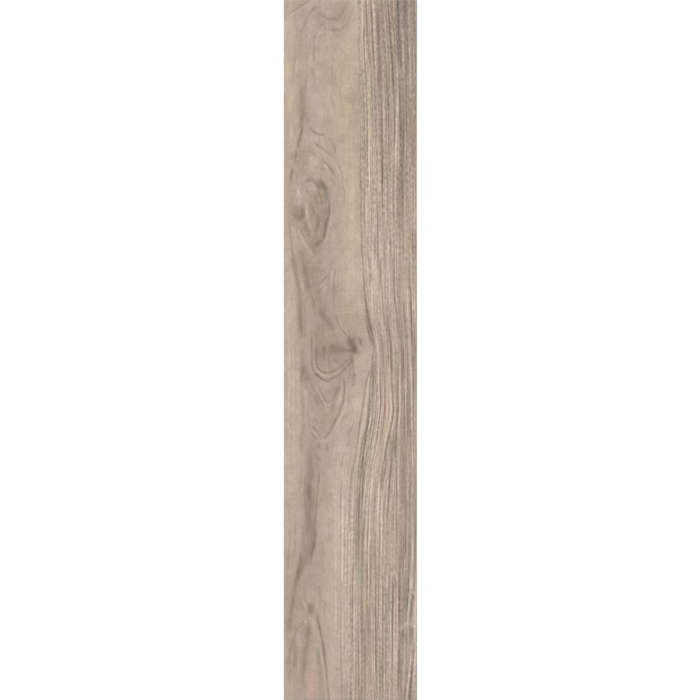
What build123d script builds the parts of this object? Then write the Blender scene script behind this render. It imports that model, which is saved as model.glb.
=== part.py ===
from build123d import *

import os

# Porcelain floor tile in the shape of a plank: pressed and fired as one piece, with its four edges
# ground square. Millimetres, +Z up through the face, length along Y. The origin is the centre of the
# underside, on the plane of the key ribs that the tile rests on.

# Overall sizes, measured over the ground edges and from the key ribs to the face
LENGTH = 1200.0
WIDTH = 228.0
THICKNESS = 9.0

# Arris ground at 45 degrees all round the face
FACE_BEVEL = 0.6

# Keyed back: a field of shallow drafted cells, which the bedding adhesive grips
BACK_MARGIN = 8.0  # least plain border from the cells to a ground edge
KEY_PITCH = 27.0  # from one cell to the next, across and along
KEY_RIB = 4.0  # rib between two cells, on the back plane
KEY_DEPTH = 0.8  # from the back plane to a cell's floor
KEY_DRAFT = 30.0  # lean of a cell's walls, in degrees


def cells_in(span):
    """Even number of cells that fit between the margins of a span, so a rib crosses its middle."""
    field = span - 2 * BACK_MARGIN + KEY_RIB
    return 2 * int(field / (2 * KEY_PITCH))


def ground_plank():
    """The plank with square edges and the arris round its face."""
    plank = Box(WIDTH, LENGTH, THICKNESS, align=(Align.CENTER, Align.CENTER, Align.MIN))
    face = plank.faces().sort_by(Axis.Z)[-1]
    return chamfer(face.edges(), FACE_BEVEL)


def key_cells():
    """The cells to press into the back, each widest at the back plane."""
    mouth = KEY_PITCH - KEY_RIB
    cell = extrude(Rectangle(mouth, mouth), amount=KEY_DEPTH, taper=KEY_DRAFT)
    return GridLocations(KEY_PITCH, KEY_PITCH, cells_in(WIDTH), cells_in(LENGTH)) * cell


floor_tile = ground_plank() - key_cells()

os.makedirs("parts", exist_ok=True)
export_step(floor_tile, "parts/floor_tile.step")
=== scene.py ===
"""Looks of a wood-grain porcelain floor tile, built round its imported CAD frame.

The tile is one closed mesh: a face with shallow grain relief, an arris, ground edges and a keyed back. The
grain is drawn from strokes and patches, worked out over the whole face at once and kept on the mesh as
attributes, to which the glaze adds its fine fibres.
"""

import logging
import math
from dataclasses import dataclass
from enum import Enum, IntEnum
from typing import ClassVar

import bpy
import numpy as np
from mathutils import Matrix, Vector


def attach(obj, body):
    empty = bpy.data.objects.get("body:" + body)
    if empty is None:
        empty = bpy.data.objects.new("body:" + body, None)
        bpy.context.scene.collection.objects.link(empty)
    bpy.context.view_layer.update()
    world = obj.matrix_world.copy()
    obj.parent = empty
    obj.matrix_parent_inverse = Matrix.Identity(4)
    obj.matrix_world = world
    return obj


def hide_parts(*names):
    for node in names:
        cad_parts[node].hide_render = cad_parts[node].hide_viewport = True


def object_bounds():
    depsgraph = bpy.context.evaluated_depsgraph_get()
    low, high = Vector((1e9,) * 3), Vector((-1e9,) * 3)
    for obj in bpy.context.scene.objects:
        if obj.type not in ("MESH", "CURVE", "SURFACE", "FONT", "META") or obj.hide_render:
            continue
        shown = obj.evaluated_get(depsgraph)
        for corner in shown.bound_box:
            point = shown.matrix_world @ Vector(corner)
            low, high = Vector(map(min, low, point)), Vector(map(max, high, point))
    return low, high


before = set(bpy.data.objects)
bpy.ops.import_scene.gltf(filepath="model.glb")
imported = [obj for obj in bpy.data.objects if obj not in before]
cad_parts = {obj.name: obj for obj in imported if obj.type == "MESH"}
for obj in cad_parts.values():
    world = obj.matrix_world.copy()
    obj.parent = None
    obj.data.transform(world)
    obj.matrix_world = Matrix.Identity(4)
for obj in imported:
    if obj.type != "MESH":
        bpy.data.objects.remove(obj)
cad_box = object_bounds()

log = logging.getLogger("floor_tile")

Array = np.ndarray
Point = tuple[float, float]
Cell = tuple[float, float, float]
Colour = tuple[float, float, float, float]
Socket = bpy.types.NodeSocket

MM = 0.001
SIZE_PLACES = 3  # decimal places of a mm to which the CAD box is read

# Tones and tints are written in steps of lightness, of which white has this many
STEPS = 255.0

# Curve from display colours to linear light: a straight foot up to a knee, and a power above it
DISPLAY_KNEE = 0.04045
DISPLAY_FOOT = 12.92
DISPLAY_OFFSET = 0.055
DISPLAY_POWER = 2.4

# Attributes of the mesh that the glaze reads, and the map that materials are baked on
PRINT_COLOUR = "print_colour"
GRAIN_PLACE = "grain_place"
SAND_SHARE = "sand_share"
BAKE_MAP = "OFBake"

# Noise in a material: its middle value, and numbers of finer layers on it
MIDDLE = 0.5
PLAIN = 0.0
SOFT = 1.0
FINE = 2.0

# Places on the face are given across, from the left long edge, and along, from the far short edge, in mm.


class Tint(Enum):
    """Casts of colour in the print, each as a change of red, green and blue in steps."""

    NONE = (0.0, 0.0, 0.0)
    YELLOW = (0.8, 1.3, -3.2)
    BROWN = (1.0, -0.5, -1.6)
    PINK = (2.6, -2.0, -1.4)
    PURPLE = (0.6, -2.4, 1.9)
    BLUE = (-2.4, -0.5, 2.4)
    GREEN = (-2.0, 1.6, -0.5)
    GREY = (-1.0, 0.0, 1.0)


class Unevenness(Enum):
    """Kinds of seeded noise in the print, each with its place in the order of seeds and its cell in mm."""

    STRAY = (0, (9.0, 34.0))
    FINE_STRAY = (1, (4.0, 13.0))
    FIRMNESS = (2, (12.0, 28.0))
    DRIFT = (3, (14.0, 60.0))
    BLOTCH = (4, (9.0, 14.0))
    FINE_BLOTCH = (5, (4.0, 7.0))


class Part(IntEnum):
    """Parts of the tile's skin, in the order of its faces and of the lanes of its map."""

    FACE = 0
    BACK = 1
    LEFT = 2
    RIGHT = 3
    FAR = 4
    NEAR = 5


def ease(share: Array) -> Array:
    """Smooth step from 0 to 1 for shares from 0 to 1."""
    held = np.clip(share, 0.0, 1.0)
    return held * held * (3.0 - 2.0 * held)


def to_linear(colour: Array) -> Array:
    """Linear light of display colours from 0 to 1.

    Args:
        colour: Display colours.

    Returns:
        The same colours in linear light.
    """
    held = np.clip(colour, 0.0, 1.0)
    curved = ((held + DISPLAY_OFFSET) / (1.0 + DISPLAY_OFFSET)) ** DISPLAY_POWER
    return np.where(held <= DISPLAY_KNEE, held / DISPLAY_FOOT, curved)


def smooth_through(stations: Array, values: Array, at: Array) -> Array:
    """Smooth curve through values at stations: a cubic on each span, with the mean slope at each station.

    Args:
        stations: Rising places at which the curve is known.
        values: The curve there.
        at: Places to read it at.

    Returns:
        The curve at those places.
    """
    slope = np.gradient(values, stations)
    span = np.clip(np.searchsorted(stations, at, side="right") - 1, 0, len(stations) - 2)
    length = stations[span + 1] - stations[span]
    u = np.clip((at - stations[span]) / length, 0.0, 1.0)
    start = (1.0 + 2.0 * u) * (1.0 - u) ** 2 * values[span] + u * (1.0 - u) ** 2 * length * slope[span]
    end = u**2 * (3.0 - 2.0 * u) * values[span + 1] + u**2 * (u - 1.0) * length * slope[span + 1]
    return start + end


def cloud(across: Array, along: Array, cell: Point, seed: int) -> Array:
    """Soft seeded noise, about 1 either way: random heights on a lattice, eased from each to the next.

    Args:
        across: Places across, in mm.
        along: Places along, in mm.
        cell: Size of a lattice cell, across and along, in mm.
        seed: Choice of random heights.

    Returns:
        The noise at those places.
    """
    u = across / cell[0]
    v = along / cell[1]
    u = u - math.floor(float(u.min()))
    v = v - math.floor(float(v.min()))
    column = np.floor(u).astype(int)
    row = np.floor(v).astype(int)
    heights = np.random.default_rng(seed).standard_normal((row.max() + 2, column.max() + 2))
    right = ease(u - column)
    down = ease(v - row)
    upper = heights[row, column] * (1.0 - right) + heights[row, column + 1] * right
    lower = heights[row + 1, column] * (1.0 - right) + heights[row + 1, column + 1] * right
    return upper * (1.0 - down) + lower * down


@dataclass(frozen=True)
class Sheet:
    """The places of the face's vertices: a grid of rows along the tile and columns across it, in mm."""

    columns: Array
    rows: Array
    across: Array
    along: Array

    def window(self, low: Point, high: Point) -> tuple[slice, slice]:
        """Rows and columns that cover a box.

        Args:
            low: Least place across and along.
            high: Greatest place across and along.

        Returns:
            A slice of rows and a slice of columns.
        """
        first, last = np.searchsorted(self.rows, (low[1], high[1]))
        left, right = np.searchsorted(self.columns, (low[0], high[0]))
        return slice(first, last), slice(left, right)


@dataclass(frozen=True)
class Stroke:
    """A line of the print through a few points, dark or light, that dies away at its ends.

    The tone is in steps, the width and the points are in mm, and the fade is the share of its length over
    which the stroke dies away at either end.
    """

    tone: float
    width: float
    points: tuple[Point, ...]
    tint: Tint = Tint.NONE
    fade: float = 0.22

    SPAN_STEPS: ClassVar[int] = 6  # steps of the curve from one point to the next
    REACH: ClassVar[float] = 4.2  # widths from the curve to where the stroke is no longer worked out
    WANDER: ClassVar[float] = 4.0  # mm added to that, because the places are disturbed
    FLANK: ClassVar[float] = 0.26  # strength of the opposite tone on either side of a thin stroke
    FLANK_WIDTH: ClassVar[float] = 2.0  # width of that tone, in widths of the stroke
    THINNEST_PLAIN: ClassVar[float] = 2.5  # mm of width from which a stroke has no such flanks

    def curve(self) -> Array:
        """A smooth curve through the stroke's points, by the length along them.

        Returns:
            Points of the curve, across and along.
        """
        places = np.array(self.points, float)
        run = np.concatenate(([0.0], np.cumsum(np.linalg.norm(np.diff(places, axis=0), axis=1))))
        steps = np.linspace(0.0, len(run) - 1.0, self.SPAN_STEPS * (len(run) - 1) + 1)
        at = np.interp(steps, np.arange(len(run)), run)
        return np.stack([smooth_through(run, places[:, axis], at) for axis in (0, 1)], axis=1)

    def lay(self, sheet: Sheet, tone: Array, colour: Array, strength: Array) -> None:
        """Adds the stroke: a bell across its line less a wider, weaker one, eased off at both ends.

        Args:
            sheet: Places of the print, already a little disturbed.
            tone: Tone of the print, which is added to.
            colour: Cast of the print, which is added to.
            strength: How firmly strokes print at each place.
        """
        curve = self.curve()
        reach = self.width * self.REACH + self.WANDER
        rows, columns = sheet.window(tuple(curve.min(0) - reach), tuple(curve.max(0) + reach))
        place = np.stack((sheet.across[rows, columns], sheet.along[rows, columns]), axis=-1)[:, :, None, :]
        step = np.diff(curve, axis=0)
        length = np.linalg.norm(step, axis=1)
        gap = place - curve[:-1]
        share = np.clip((gap * step).sum(-1) / length**2, 0.0, 1.0)
        off = ((gap - share[..., None] * step) ** 2).sum(-1)
        near = off.argmin(-1)[..., None]
        run = (np.cumsum(length) - length + share * length) / length.sum()
        run = np.take_along_axis(run, near, -1)[..., 0]
        ends = ease(run / self.fade) * ease((1.0 - run) / self.fade)
        bell = np.exp(-np.take_along_axis(off, near, -1)[..., 0] / self.width**2)
        flanks = bell ** (1.0 / self.FLANK_WIDTH**2)
        flank = self.FLANK if self.width < self.THINNEST_PLAIN else 0.0
        weight = ((1.0 + flank) * bell - flank * flanks) * ends * strength[rows, columns]
        tone[rows, columns] += self.tone * weight
        colour[rows, columns] += np.array(self.tint.value) * weight[..., None]


@dataclass(frozen=True)
class Patch:
    """A soft oval of tone and cast in the print, with its centre and half sizes in mm."""

    tone: float
    centre: Point
    half: Point
    tint: Tint = Tint.NONE
    cast: float = 1.0
    lean: float = 0.0

    def lay(self, sheet: Sheet, tone: Array, colour: Array) -> None:
        """Adds the patch to the print: a bell in both directions, leaning across as it goes along.

        Args:
            sheet: Places of the print.
            tone: Tone of the print, which is added to.
            colour: Cast of the print, which is added to.
        """
        down = sheet.along - self.centre[1]
        aside = sheet.across - self.centre[0] - self.lean * down
        weight = np.exp(-((aside / self.half[0]) ** 2) - (down / self.half[1]) ** 2)
        tone += self.tone * weight
        colour += np.array(self.tint.value) * (self.cast * weight)[..., None]


@dataclass(frozen=True)
class Guide:
    """A line of the grain from one short edge to the other, through points along and across.

    The grain is straightened by these lines: each has one place in it from end to end.
    """

    grain: float
    points: tuple[Point, ...]

    def across(self, along: Array) -> Array:
        """Places across of the guide at places along."""
        stations = np.array(self.points, float)
        return smooth_through(stations[:, 0], stations[:, 1], along)


# Lines that the grain follows, from the left long edge to the right one
GUIDES = (
    Guide(-4, ((0, -4), (1200, -4))),
    Guide(22, ((0, 30), (60, 24), (130, 22), (160, 24), (200, 30), (226, 28), (255, 20), (293, 13),
        (350, 10), (390, 11), (440, 15), (480, 22), (530, 25), (600, 27), (655, 29), (700, 31), (780, 34),
        (820, 35), (900, 38), (950, 30), (990, 22), (1030, 13), (1060, 10), (1130, 5), (1200, 3))),
    Guide(64, ((0, 60), (130, 58), (200, 62), (250, 70), (300, 80), (343, 80), (373, 80), (398, 74),
        (418, 66), (450, 66), (500, 62), (540, 54), (587, 47), (615, 47), (640, 50), (680, 54), (718, 56),
        (750, 62), (800, 62), (840, 57), (877, 54), (928, 52), (960, 50), (1000, 50), (1035, 54),
        (1060, 59), (1091, 65), (1131, 71), (1180, 75), (1200, 76))),
    Guide(104, ((0, 100), (150, 101), (230, 95), (274, 96), (300, 102), (343, 106), (400, 104), (450, 98),
        (500, 93), (540, 95), (570, 108), (590, 113), (625, 118), (650, 112), (680, 106), (707, 99),
        (731, 92), (760, 87), (800, 84), (900, 83), (1000, 84), (1200, 88))),
    Guide(119, ((0, 118), (300, 119), (450, 120), (530, 122), (580, 134), (600, 138), (630, 140),
        (655, 137), (685, 130), (720, 124), (756, 117), (800, 109), (850, 105), (900, 104), (1200, 105))),
    Guide(131, ((0, 127), (100, 128), (140, 130), (180, 131), (300, 132), (420, 134), (480, 137),
        (525, 142), (561, 148), (589, 154), (610, 156), (640, 153), (680, 147), (720, 142), (769, 134),
        (804, 130), (850, 127), (900, 126), (1000, 125), (1200, 126))),
    Guide(150, ((0, 143), (60, 145.2), (100, 147), (150, 149), (200, 150.3), (300, 151), (450, 153.6),
        (500, 155.3), (550, 159.3), (575, 163.5), (600, 166.5), (650, 167.5), (704, 167.3), (721, 166),
        (743, 163), (764, 160), (781, 155.8), (794, 152), (820, 147.3), (860, 144), (900, 141.5),
        (1000, 139.5), (1200, 140))),
    Guide(168, ((0, 158), (60, 161), (100, 163), (150, 166), (200, 168), (300, 169), (400, 170), (460, 171),
        (525, 170.5), (563, 173), (578, 176), (600, 179), (650, 180), (680, 181.3), (704, 181.6),
        (721, 180), (743, 175.5), (764, 171), (781, 168.5), (800, 166), (820, 163), (860, 159.5),
        (900, 157.3), (1000, 155.5), (1200, 156.5))),
    Guide(175, ((0, 165), (60, 168), (100, 170.4), (150, 173), (200, 175), (300, 175.7), (400, 176.3),
        (489, 177), (525, 177), (553, 178.5), (568, 180.4), (583, 182.6), (602, 184.4), (646, 184.7),
        (665, 185.2), (683, 187), (704, 187.7), (721, 185.8), (743, 180.9), (764, 175.8), (781, 173.9),
        (794, 173), (820, 169.5), (860, 166), (900, 164), (1000, 162), (1200, 162))),
    Guide(188, ((0, 178), (47, 182), (92, 184), (130, 186), (200, 188), (381, 188), (489, 189), (525, 191),
        (553, 194), (576, 196), (600, 198), (640, 197), (687, 196.5), (709, 196.5), (730, 195), (760, 192),
        (786, 190.4), (820, 189), (860, 187.5), (900, 186.5), (1000, 185), (1200, 185))),
    Guide(207, ((0, 200), (60, 203), (120, 206), (200, 207), (400, 206), (525, 206), (557, 208), (580, 210),
        (600, 211), (700, 209), (800, 207), (1000, 206), (1100, 205), (1200, 203))),
    Guide(218, ((0, 214), (60, 216), (130, 217), (300, 217), (467, 216), (500, 217), (536, 219), (600, 220),
        (800, 221), (950, 221), (1000, 217), (1060, 213), (1120, 213), (1200, 208))),
    Guide(232, ((0, 232), (1200, 232))),
)

# Broad light, dark and tinted areas
BROAD_TONES = (
    Patch(9, (4, 100), (20, 190)),
    Patch(12, (8, 620), (20, 250)),
    Patch(5, (72, 150), (32, 80)),
    Patch(5, (108, 190), (20, 180), Tint.YELLOW, 1.1),
    Patch(8, (116, 360), (12, 90), Tint.YELLOW, 1.4),
    Patch(4, (114, 500), (14, 50), Tint.YELLOW, 0.7),
    Patch(8, (126, 60), (10, 60)),
    Patch(-11, (212, 80), (26, 150), Tint.BLUE, 1.4),
    Patch(-14, (206, 5), (24, 55), Tint.PURPLE, 0.5),
    Patch(-11, (166, 10), (24, 55)),
    Patch(-14, (184, 130), (14, 80)),
    Patch(-9, (162, 130), (10, 80), Tint.BLUE, 0.5),
    Patch(-14, (162, 275), (8, 50)),
    Patch(-9, (214, 240), (20, 90)),
    Patch(-9, (10, 345), (12, 55)),
    Patch(-6, (28, 270), (14, 50)),
    Patch(-7, (50, 366), (28, 56)),
    Patch(-8, (38, 470), (20, 66), Tint.BROWN, 0.4),
    Patch(-7, (66, 545), (24, 50)),
    Patch(-8, (80, 612), (34, 40)),
    Patch(-10, (100, 640), (14, 44)),
    Patch(-6, (66, 700), (26, 60)),
    Patch(-6, (56, 780), (18, 50)),
    Patch(-8, (46, 860), (10, 74)),
    Patch(-6, (38, 930), (12, 40)),
    Patch(5, (112, 450), (14, 46)),
    Patch(9, (160, 440), (38, 80)),
    Patch(5, (150, 300), (14, 60)),
    Patch(13, (126, 700), (14, 56)),
    Patch(12, (100, 860), (16, 140)),
    Patch(12, (90, 1050), (20, 160)),
    Patch(-9, (210, 880), (14, 300)),
    Patch(-7, (216, 740), (9, 60)),
    Patch(-7, (18, 1050), (24, 70)),
    Patch(-5, (30, 1130), (22, 50)),
    Patch(-6, (128, 1000), (10, 180)),
    Patch(-7, (148, 1080), (10, 130)),
    Patch(-4, (175, 1060), (16, 100)),
    Patch(5, (144, 640), (12, 60)),
    Patch(7, (119, 1000), (6, 200)),
    Patch(-8, (66, 1165), (7, 30)),
    Patch(-9, (38, 655), (8, 30)),
    Patch(-8, (120, 602), (10, 22)),
    Patch(-7, (24, 460), (8, 24)),
    Patch(-7, (38, 900), (7, 80)),
    Patch(-7, (202, 310), (7, 30)),
    Patch(-8, (202, 1060), (6, 24)),
    Patch(7, (189, 1130), (8, 60)),
    Patch(13, (217, 1125), (8, 26)),
    Patch(7, (161, 860), (7, 30)),
    Patch(6, (148, 450), (8, 24)),
    Patch(5, (120, 300), (6, 60)),
    Patch(18, (188, 600), (7, 40)),
    Patch(9, (161, 860), (6, 80)),
    Patch(7, (168, 1170), (10, 40)),
    Patch(-9, (189, 1005), (7, 22)),
    Patch(-8, (120, 1060), (6, 40)),
    Patch(8, (216, 285), (6, 40)),
    Patch(-5, (202, 340), (6, 110)),
    Patch(7, (148, 610), (6, 20)),
    Patch(7, (161, 690), (6, 40)),
    Patch(0, (220, 1000), (8, 220), Tint.BLUE, 0.6),
    Patch(0, (163, 70), (6, 70), Tint.BLUE, 0.6),
    Patch(0, (190, 790), (14, 40), Tint.BLUE, 0.4),
    Patch(0, (104, 200), (10, 170), Tint.PURPLE, 0.45),
    Patch(14, (134, 940), (5, 50)),
    Patch(-11, (188, 245), (6, 45)),
    Patch(8, (175, 290), (6, 40)),
    Patch(9, (150, 280), (7, 50)),
    Patch(7, (148, 700), (6, 40)),
    Patch(-7, (147, 800), (6, 30)),
    Patch(7, (175, 1020), (6, 30)),
    Patch(-5, (120, 1090), (6, 50)),
    Patch(5, (134, 210), (6, 60)),
    Patch(5, (106, 190), (6, 50)),
    Patch(-5, (218, 250), (7, 50)),
)

# Arched figure above the first knot
UPPER_FIGURE = (
    Stroke(-13, 1.5, ((50, -3), (36, 7), (24, 14.5), (12, 22), (2, 31))),
    Stroke(13, 1.8, ((52, 0), (37, 10), (25, 18), (13, 26), (3, 35))),
    Stroke(8, 2.0, ((98, -4), (84, 3), (70, 9))),
    Stroke(-15, 2.0, ((30, 50), (36, 39), (42, 28), (47.5, 20), (54, 14), (61, 12), (68, 15))),
    Stroke(-9, 2.0, ((28, 62), (31, 52), (37, 44), (43, 34))),
    Stroke(-13, 2.0, ((49, 31), (56, 25.5), (62, 23.5), (68, 26.5), (73, 31), (81, 33.5), (90, 33),
        (96, 29), (101, 22), (106, 12), (108, 0))),
    Stroke(-8, 3.0, ((72, 31), (82, 33), (91, 32))),
    Stroke(-13, 1.8, ((55, 52), (58, 47), (63, 44), (68, 46), (73, 50), (81, 52), (90, 52), (98, 50.5),
        (105, 46), (111, 36), (116, 22), (121, 6))),
    Stroke(-13, 1.7, ((22, 76), (22, 63), (26, 53), (31, 48))),
    Stroke(-12, 1.7, ((27, 58), (29, 68), (33, 75), (28, 78), (22, 75))),
    Stroke(-11, 1.8, ((51, 112), (51, 90), (52, 74), (53.5, 62), (58, 54), (66, 50))),
    Stroke(8, 1.8, ((55, 80), (56, 66), (61, 57), (69, 54))),
    Stroke(-7, 1.5, ((60, 67), (66, 61), (74, 63))),
    Stroke(-9, 1.8, ((20, 80), (19, 100), (17, 118), (15, 132), (12, 150)), Tint.PURPLE),
    Stroke(-9, 2.0, ((38, 88), (41, 110), (40, 132), (38, 150), (36, 168))),
    Stroke(7, 2.2, ((45, 80), (46, 95), (45, 112)), Tint.YELLOW),
    Stroke(-12, 5.0, ((31, 140), (31, 165), (32, 190), (34, 212))),
    Stroke(-10, 3.0, ((38, 190), (40, 200), (42, 212))),
    Stroke(-8, 1.8, ((86, 96), (83, 116), (81, 138))),
    Stroke(-9, 2.2, ((50, 122), (53, 136), (52, 150))),
    Stroke(-8, 1.8, ((78, 158), (83, 172), (87, 186), (88, 205))),
    Stroke(-7, 1.8, ((116, 140), (119, 170), (118, 196))),
)
UPPER_PATCHES = (
    Patch(0, (12, 7), (6, 5), Tint.PINK, 1.6),
    Patch(-8, (62, 30), (11, 9), Tint.PURPLE, 0.4),
    Patch(-7, (92, 26), (18, 17), Tint.PURPLE, 0.4),
    Patch(-6, (66, 40), (8, 4)),
    Patch(8, (73, 43), (3, 4)),
    Patch(8, (93, 45), (3, 4)),
    Patch(8, (6, 118), (4, 12), Tint.YELLOW, 2.2),
    Patch(8, (9, 183), (6, 14), Tint.YELLOW, 2.2),
    Patch(-5, (29, 105), (8, 34), Tint.YELLOW, 0.9),
    Patch(-7, (30, 178), (7, 30), Tint.YELLOW, 0.4),
    Patch(2, (62, 100), (9, 30), Tint.PURPLE, 0.6),
    Patch(4, (50, 168), (10, 22), Tint.PURPLE, 0.4),
    Patch(3, (70, 175), (9, 22), Tint.PINK, 0.5),
    Patch(-4, (66, 125), (8, 16), Tint.GREY, 0.5),
    Patch(-3, (100, 118), (14, 24), Tint.BROWN, 1.6),
    Patch(-8, (97, 95), (2, 3)),
    Patch(-2, (106, 180), (14, 28), Tint.YELLOW, 0.8),
    Patch(6, (110, 82), (10, 16), Tint.YELLOW, 0.7),
    Patch(10, (128, 25), (9, 26)),
)

# First knot, a long oval near the left edge, and the arches over it
FIRST_KNOT = (
    Stroke(-15, 5.0, ((31, 196), (31, 210), (31, 224))),
    Stroke(-26, 2.3, ((33, 214), (31.5, 224), (28.5, 234), (25.5, 245), (23, 257))),
    Stroke(-10, 2.4, ((22.5, 255), (20, 267), (17, 282))),
    Stroke(-22, 2.2, ((15, 286), (14, 296), (12.8, 306), (12, 318))),
    Stroke(-18, 2.0, ((40, 218), (47, 222), (52, 226), (57, 229), (63, 231.5), (71, 231.5), (79, 229.5))),
    Stroke(-8, 2.6, ((50, 225), (58, 229.5), (66, 232))),
    Stroke(-10, 1.5, ((60, 232), (60.5, 240), (60, 248))),
    Stroke(-11, 1.7, ((74, 235), (79, 239), (84, 241))),
    Stroke(-20, 1.8, ((48, 240), (54, 246), (60, 250), (66, 254), (72, 258.5), (77, 263), (82, 266))),
    Stroke(-22, 2.0, ((88, 246), (87.5, 255), (87, 264)), fade=0.3),
    Stroke(-12, 2.2, ((79, 258), (81, 263), (80, 268)), fade=0.3),
    Stroke(-17, 1.8, ((40, 254), (45, 259), (52, 263.5), (58, 268.5), (64, 273.5))),
    Stroke(-27, 2.3, ((60, 270), (69, 277), (74, 281.5), (78.5, 287), (82, 292.5), (84.5, 298), (86, 305))),
    Stroke(-10, 1.8, ((57, 281), (63, 286), (69, 290.5), (75, 296))),
    Stroke(-8, 1.6, ((64, 282), (70, 288), (76, 290))),
    Stroke(-12, 1.7, ((84, 265), (89, 272), (93.5, 281), (97, 289), (99.5, 298), (101, 312), (103, 330),
        (104, 350))),
    Stroke(-9, 1.6, ((78, 300), (82, 308), (88, 316), (93, 322))),
    Stroke(9, 1.8, ((76, 268), (84, 276), (89, 286), (92, 298))),
    Stroke(9, 1.8, ((44, 268), (54, 275), (62, 281))),
    Stroke(8, 1.8, ((46, 245), (54, 253), (64, 259), (74, 268))),
    Stroke(-8, 2.0, ((82, 204), (82, 216), (81, 230)), Tint.PURPLE),
    Stroke(8, 2.4, ((12.5, 208), (12.5, 224), (11.5, 240)), Tint.PINK),
    Stroke(-20, 2.6, ((36, 314), (40, 310.5), (46, 308), (52, 310), (56.5, 314.5), (60, 320), (64, 327)),
        fade=0.15),
    Stroke(-9, 6, ((62, 312), (70, 326), (75, 345), (75, 368), (71, 390), (65, 410)), fade=0.12),
    Stroke(-20, 4.0, ((60, 306), (65, 314), (70, 322), (75, 330))),
    Stroke(-18, 1.6, ((59, 326), (62.5, 336), (65, 345), (66, 355))),
    Stroke(-7, 5.0, ((71, 340), (72, 356), (71, 372))),
    Stroke(-17, 1.9, ((76.5, 338), (77.5, 350), (77.5, 362), (76.5, 372))),
    Stroke(-22, 2.1, ((77, 366), (75, 376), (72.5, 384), (71, 392), (70, 399), (67, 408), (64, 413))),
    Stroke(-14, 3.4, ((70, 399), (67, 408), (62, 415), (55, 420), (49, 420))),
    Stroke(-15, 3.4, ((60, 366), (60.5, 378), (57, 390), (53, 402))),
    Stroke(-15, 3.2, ((33, 378), (36.5, 388), (41, 399), (45, 410))),
    Stroke(-9, 2.4, ((45, 412), (48, 421), (52, 430), (56, 438))),
    Stroke(-15, 1.8, ((49, 350), (50.5, 360), (54, 370))),
    Stroke(-11, 1.6, ((54, 334), (56, 346), (58, 360))),
    Stroke(-10, 1.6, ((44, 330), (46, 344), (46, 356))),
    Stroke(20, 2.4, ((38, 345), (39.5, 358), (40, 371), (42, 380))),
    Stroke(11, 2.2, ((41, 376), (45, 387), (49, 397))),
    Stroke(10, 2.3, ((80, 345), (81, 362), (79.5, 378), (76, 392), (73.5, 405), (68, 417), (60, 426))),
    Stroke(9, 2.0, ((40, 299), (30, 311), (21, 326))),
    Stroke(9, 1.8, ((32, 316), (26, 326), (21, 338))),
    Stroke(9, 1.8, ((20, 316), (25, 330), (30, 344))),
    Stroke(-9, 1.7, ((36, 303), (27, 314), (18, 330))),
    Stroke(-9, 1.6, ((36, 318), (31, 328), (27, 340))),
    Stroke(10, 2.2, ((46, 314), (52, 321), (55, 331))),
    Stroke(-17, 2.3, ((8.5, 366), (10, 392), (12.5, 415), (15, 436), (18, 456))),
    Stroke(9, 2.3, ((22, 388), (29, 405), (37, 420), (46, 433), (54, 441))),
    Stroke(8, 2.2, ((16, 385), (20, 404), (25, 425))),
    Stroke(-7, 2.4, ((24, 386), (32, 402), (40, 416), (47, 427))),
)
FIRST_KNOT_PATCHES = (
    Patch(-12, (66, 317), (6, 8), Tint.BROWN, 0.4),
    Patch(-17, (72.5, 332), (4, 10), Tint.BLUE, 2.0),
    Patch(0, (72.5, 332), (4, 10), Tint.GREEN, 1.0),
    Patch(-10, (80, 330), (3, 7), Tint.BROWN, 1.0),
    Patch(2, (80.5, 350), (3.5, 7), Tint.PURPLE, 1.6),
    Patch(-21, (24, 367), (9, 11), Tint.YELLOW, 0.5),
    Patch(-27, (31.5, 363), (3.4, 11), Tint.PURPLE, 1.3),
    Patch(-14, (29, 376), (4, 6)),
    Patch(-10, (19, 354), (5, 6)),
    Patch(-9, (56, 348), (12, 22), Tint.BROWN, 0.6),
    Patch(-5, (60, 385), (14, 34)),
    Patch(-7, (48, 402), (8, 12), Tint.BROWN, 0.5),
    Patch(-11, (56, 414), (7, 8), Tint.BROWN, 0.4),
    Patch(-3, (92, 350), (9, 40), Tint.GREY, 0.8),
    Patch(3, (3, 350), (4, 60), Tint.YELLOW, 1.4),
    Patch(10, (25, 334), (9, 17)),
    Patch(-7, (36, 275), (7, 28), Tint.YELLOW, 0.5),
    Patch(-4, (22, 262), (8, 26), Tint.YELLOW, 0.5),
    Patch(-3, (97, 288), (5, 8), Tint.GREEN, 0.9),
    Patch(4, (108, 255), (4, 26), Tint.PINK, 0.6),
    Patch(6, (54, 239), (11, 7), Tint.PURPLE, 0.6),
    Patch(6, (54, 282), (10, 10)),
    Patch(4, (95, 215), (9, 16), Tint.YELLOW, 0.8),
    Patch(5, (85, 420), (8, 22)),
)

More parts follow.
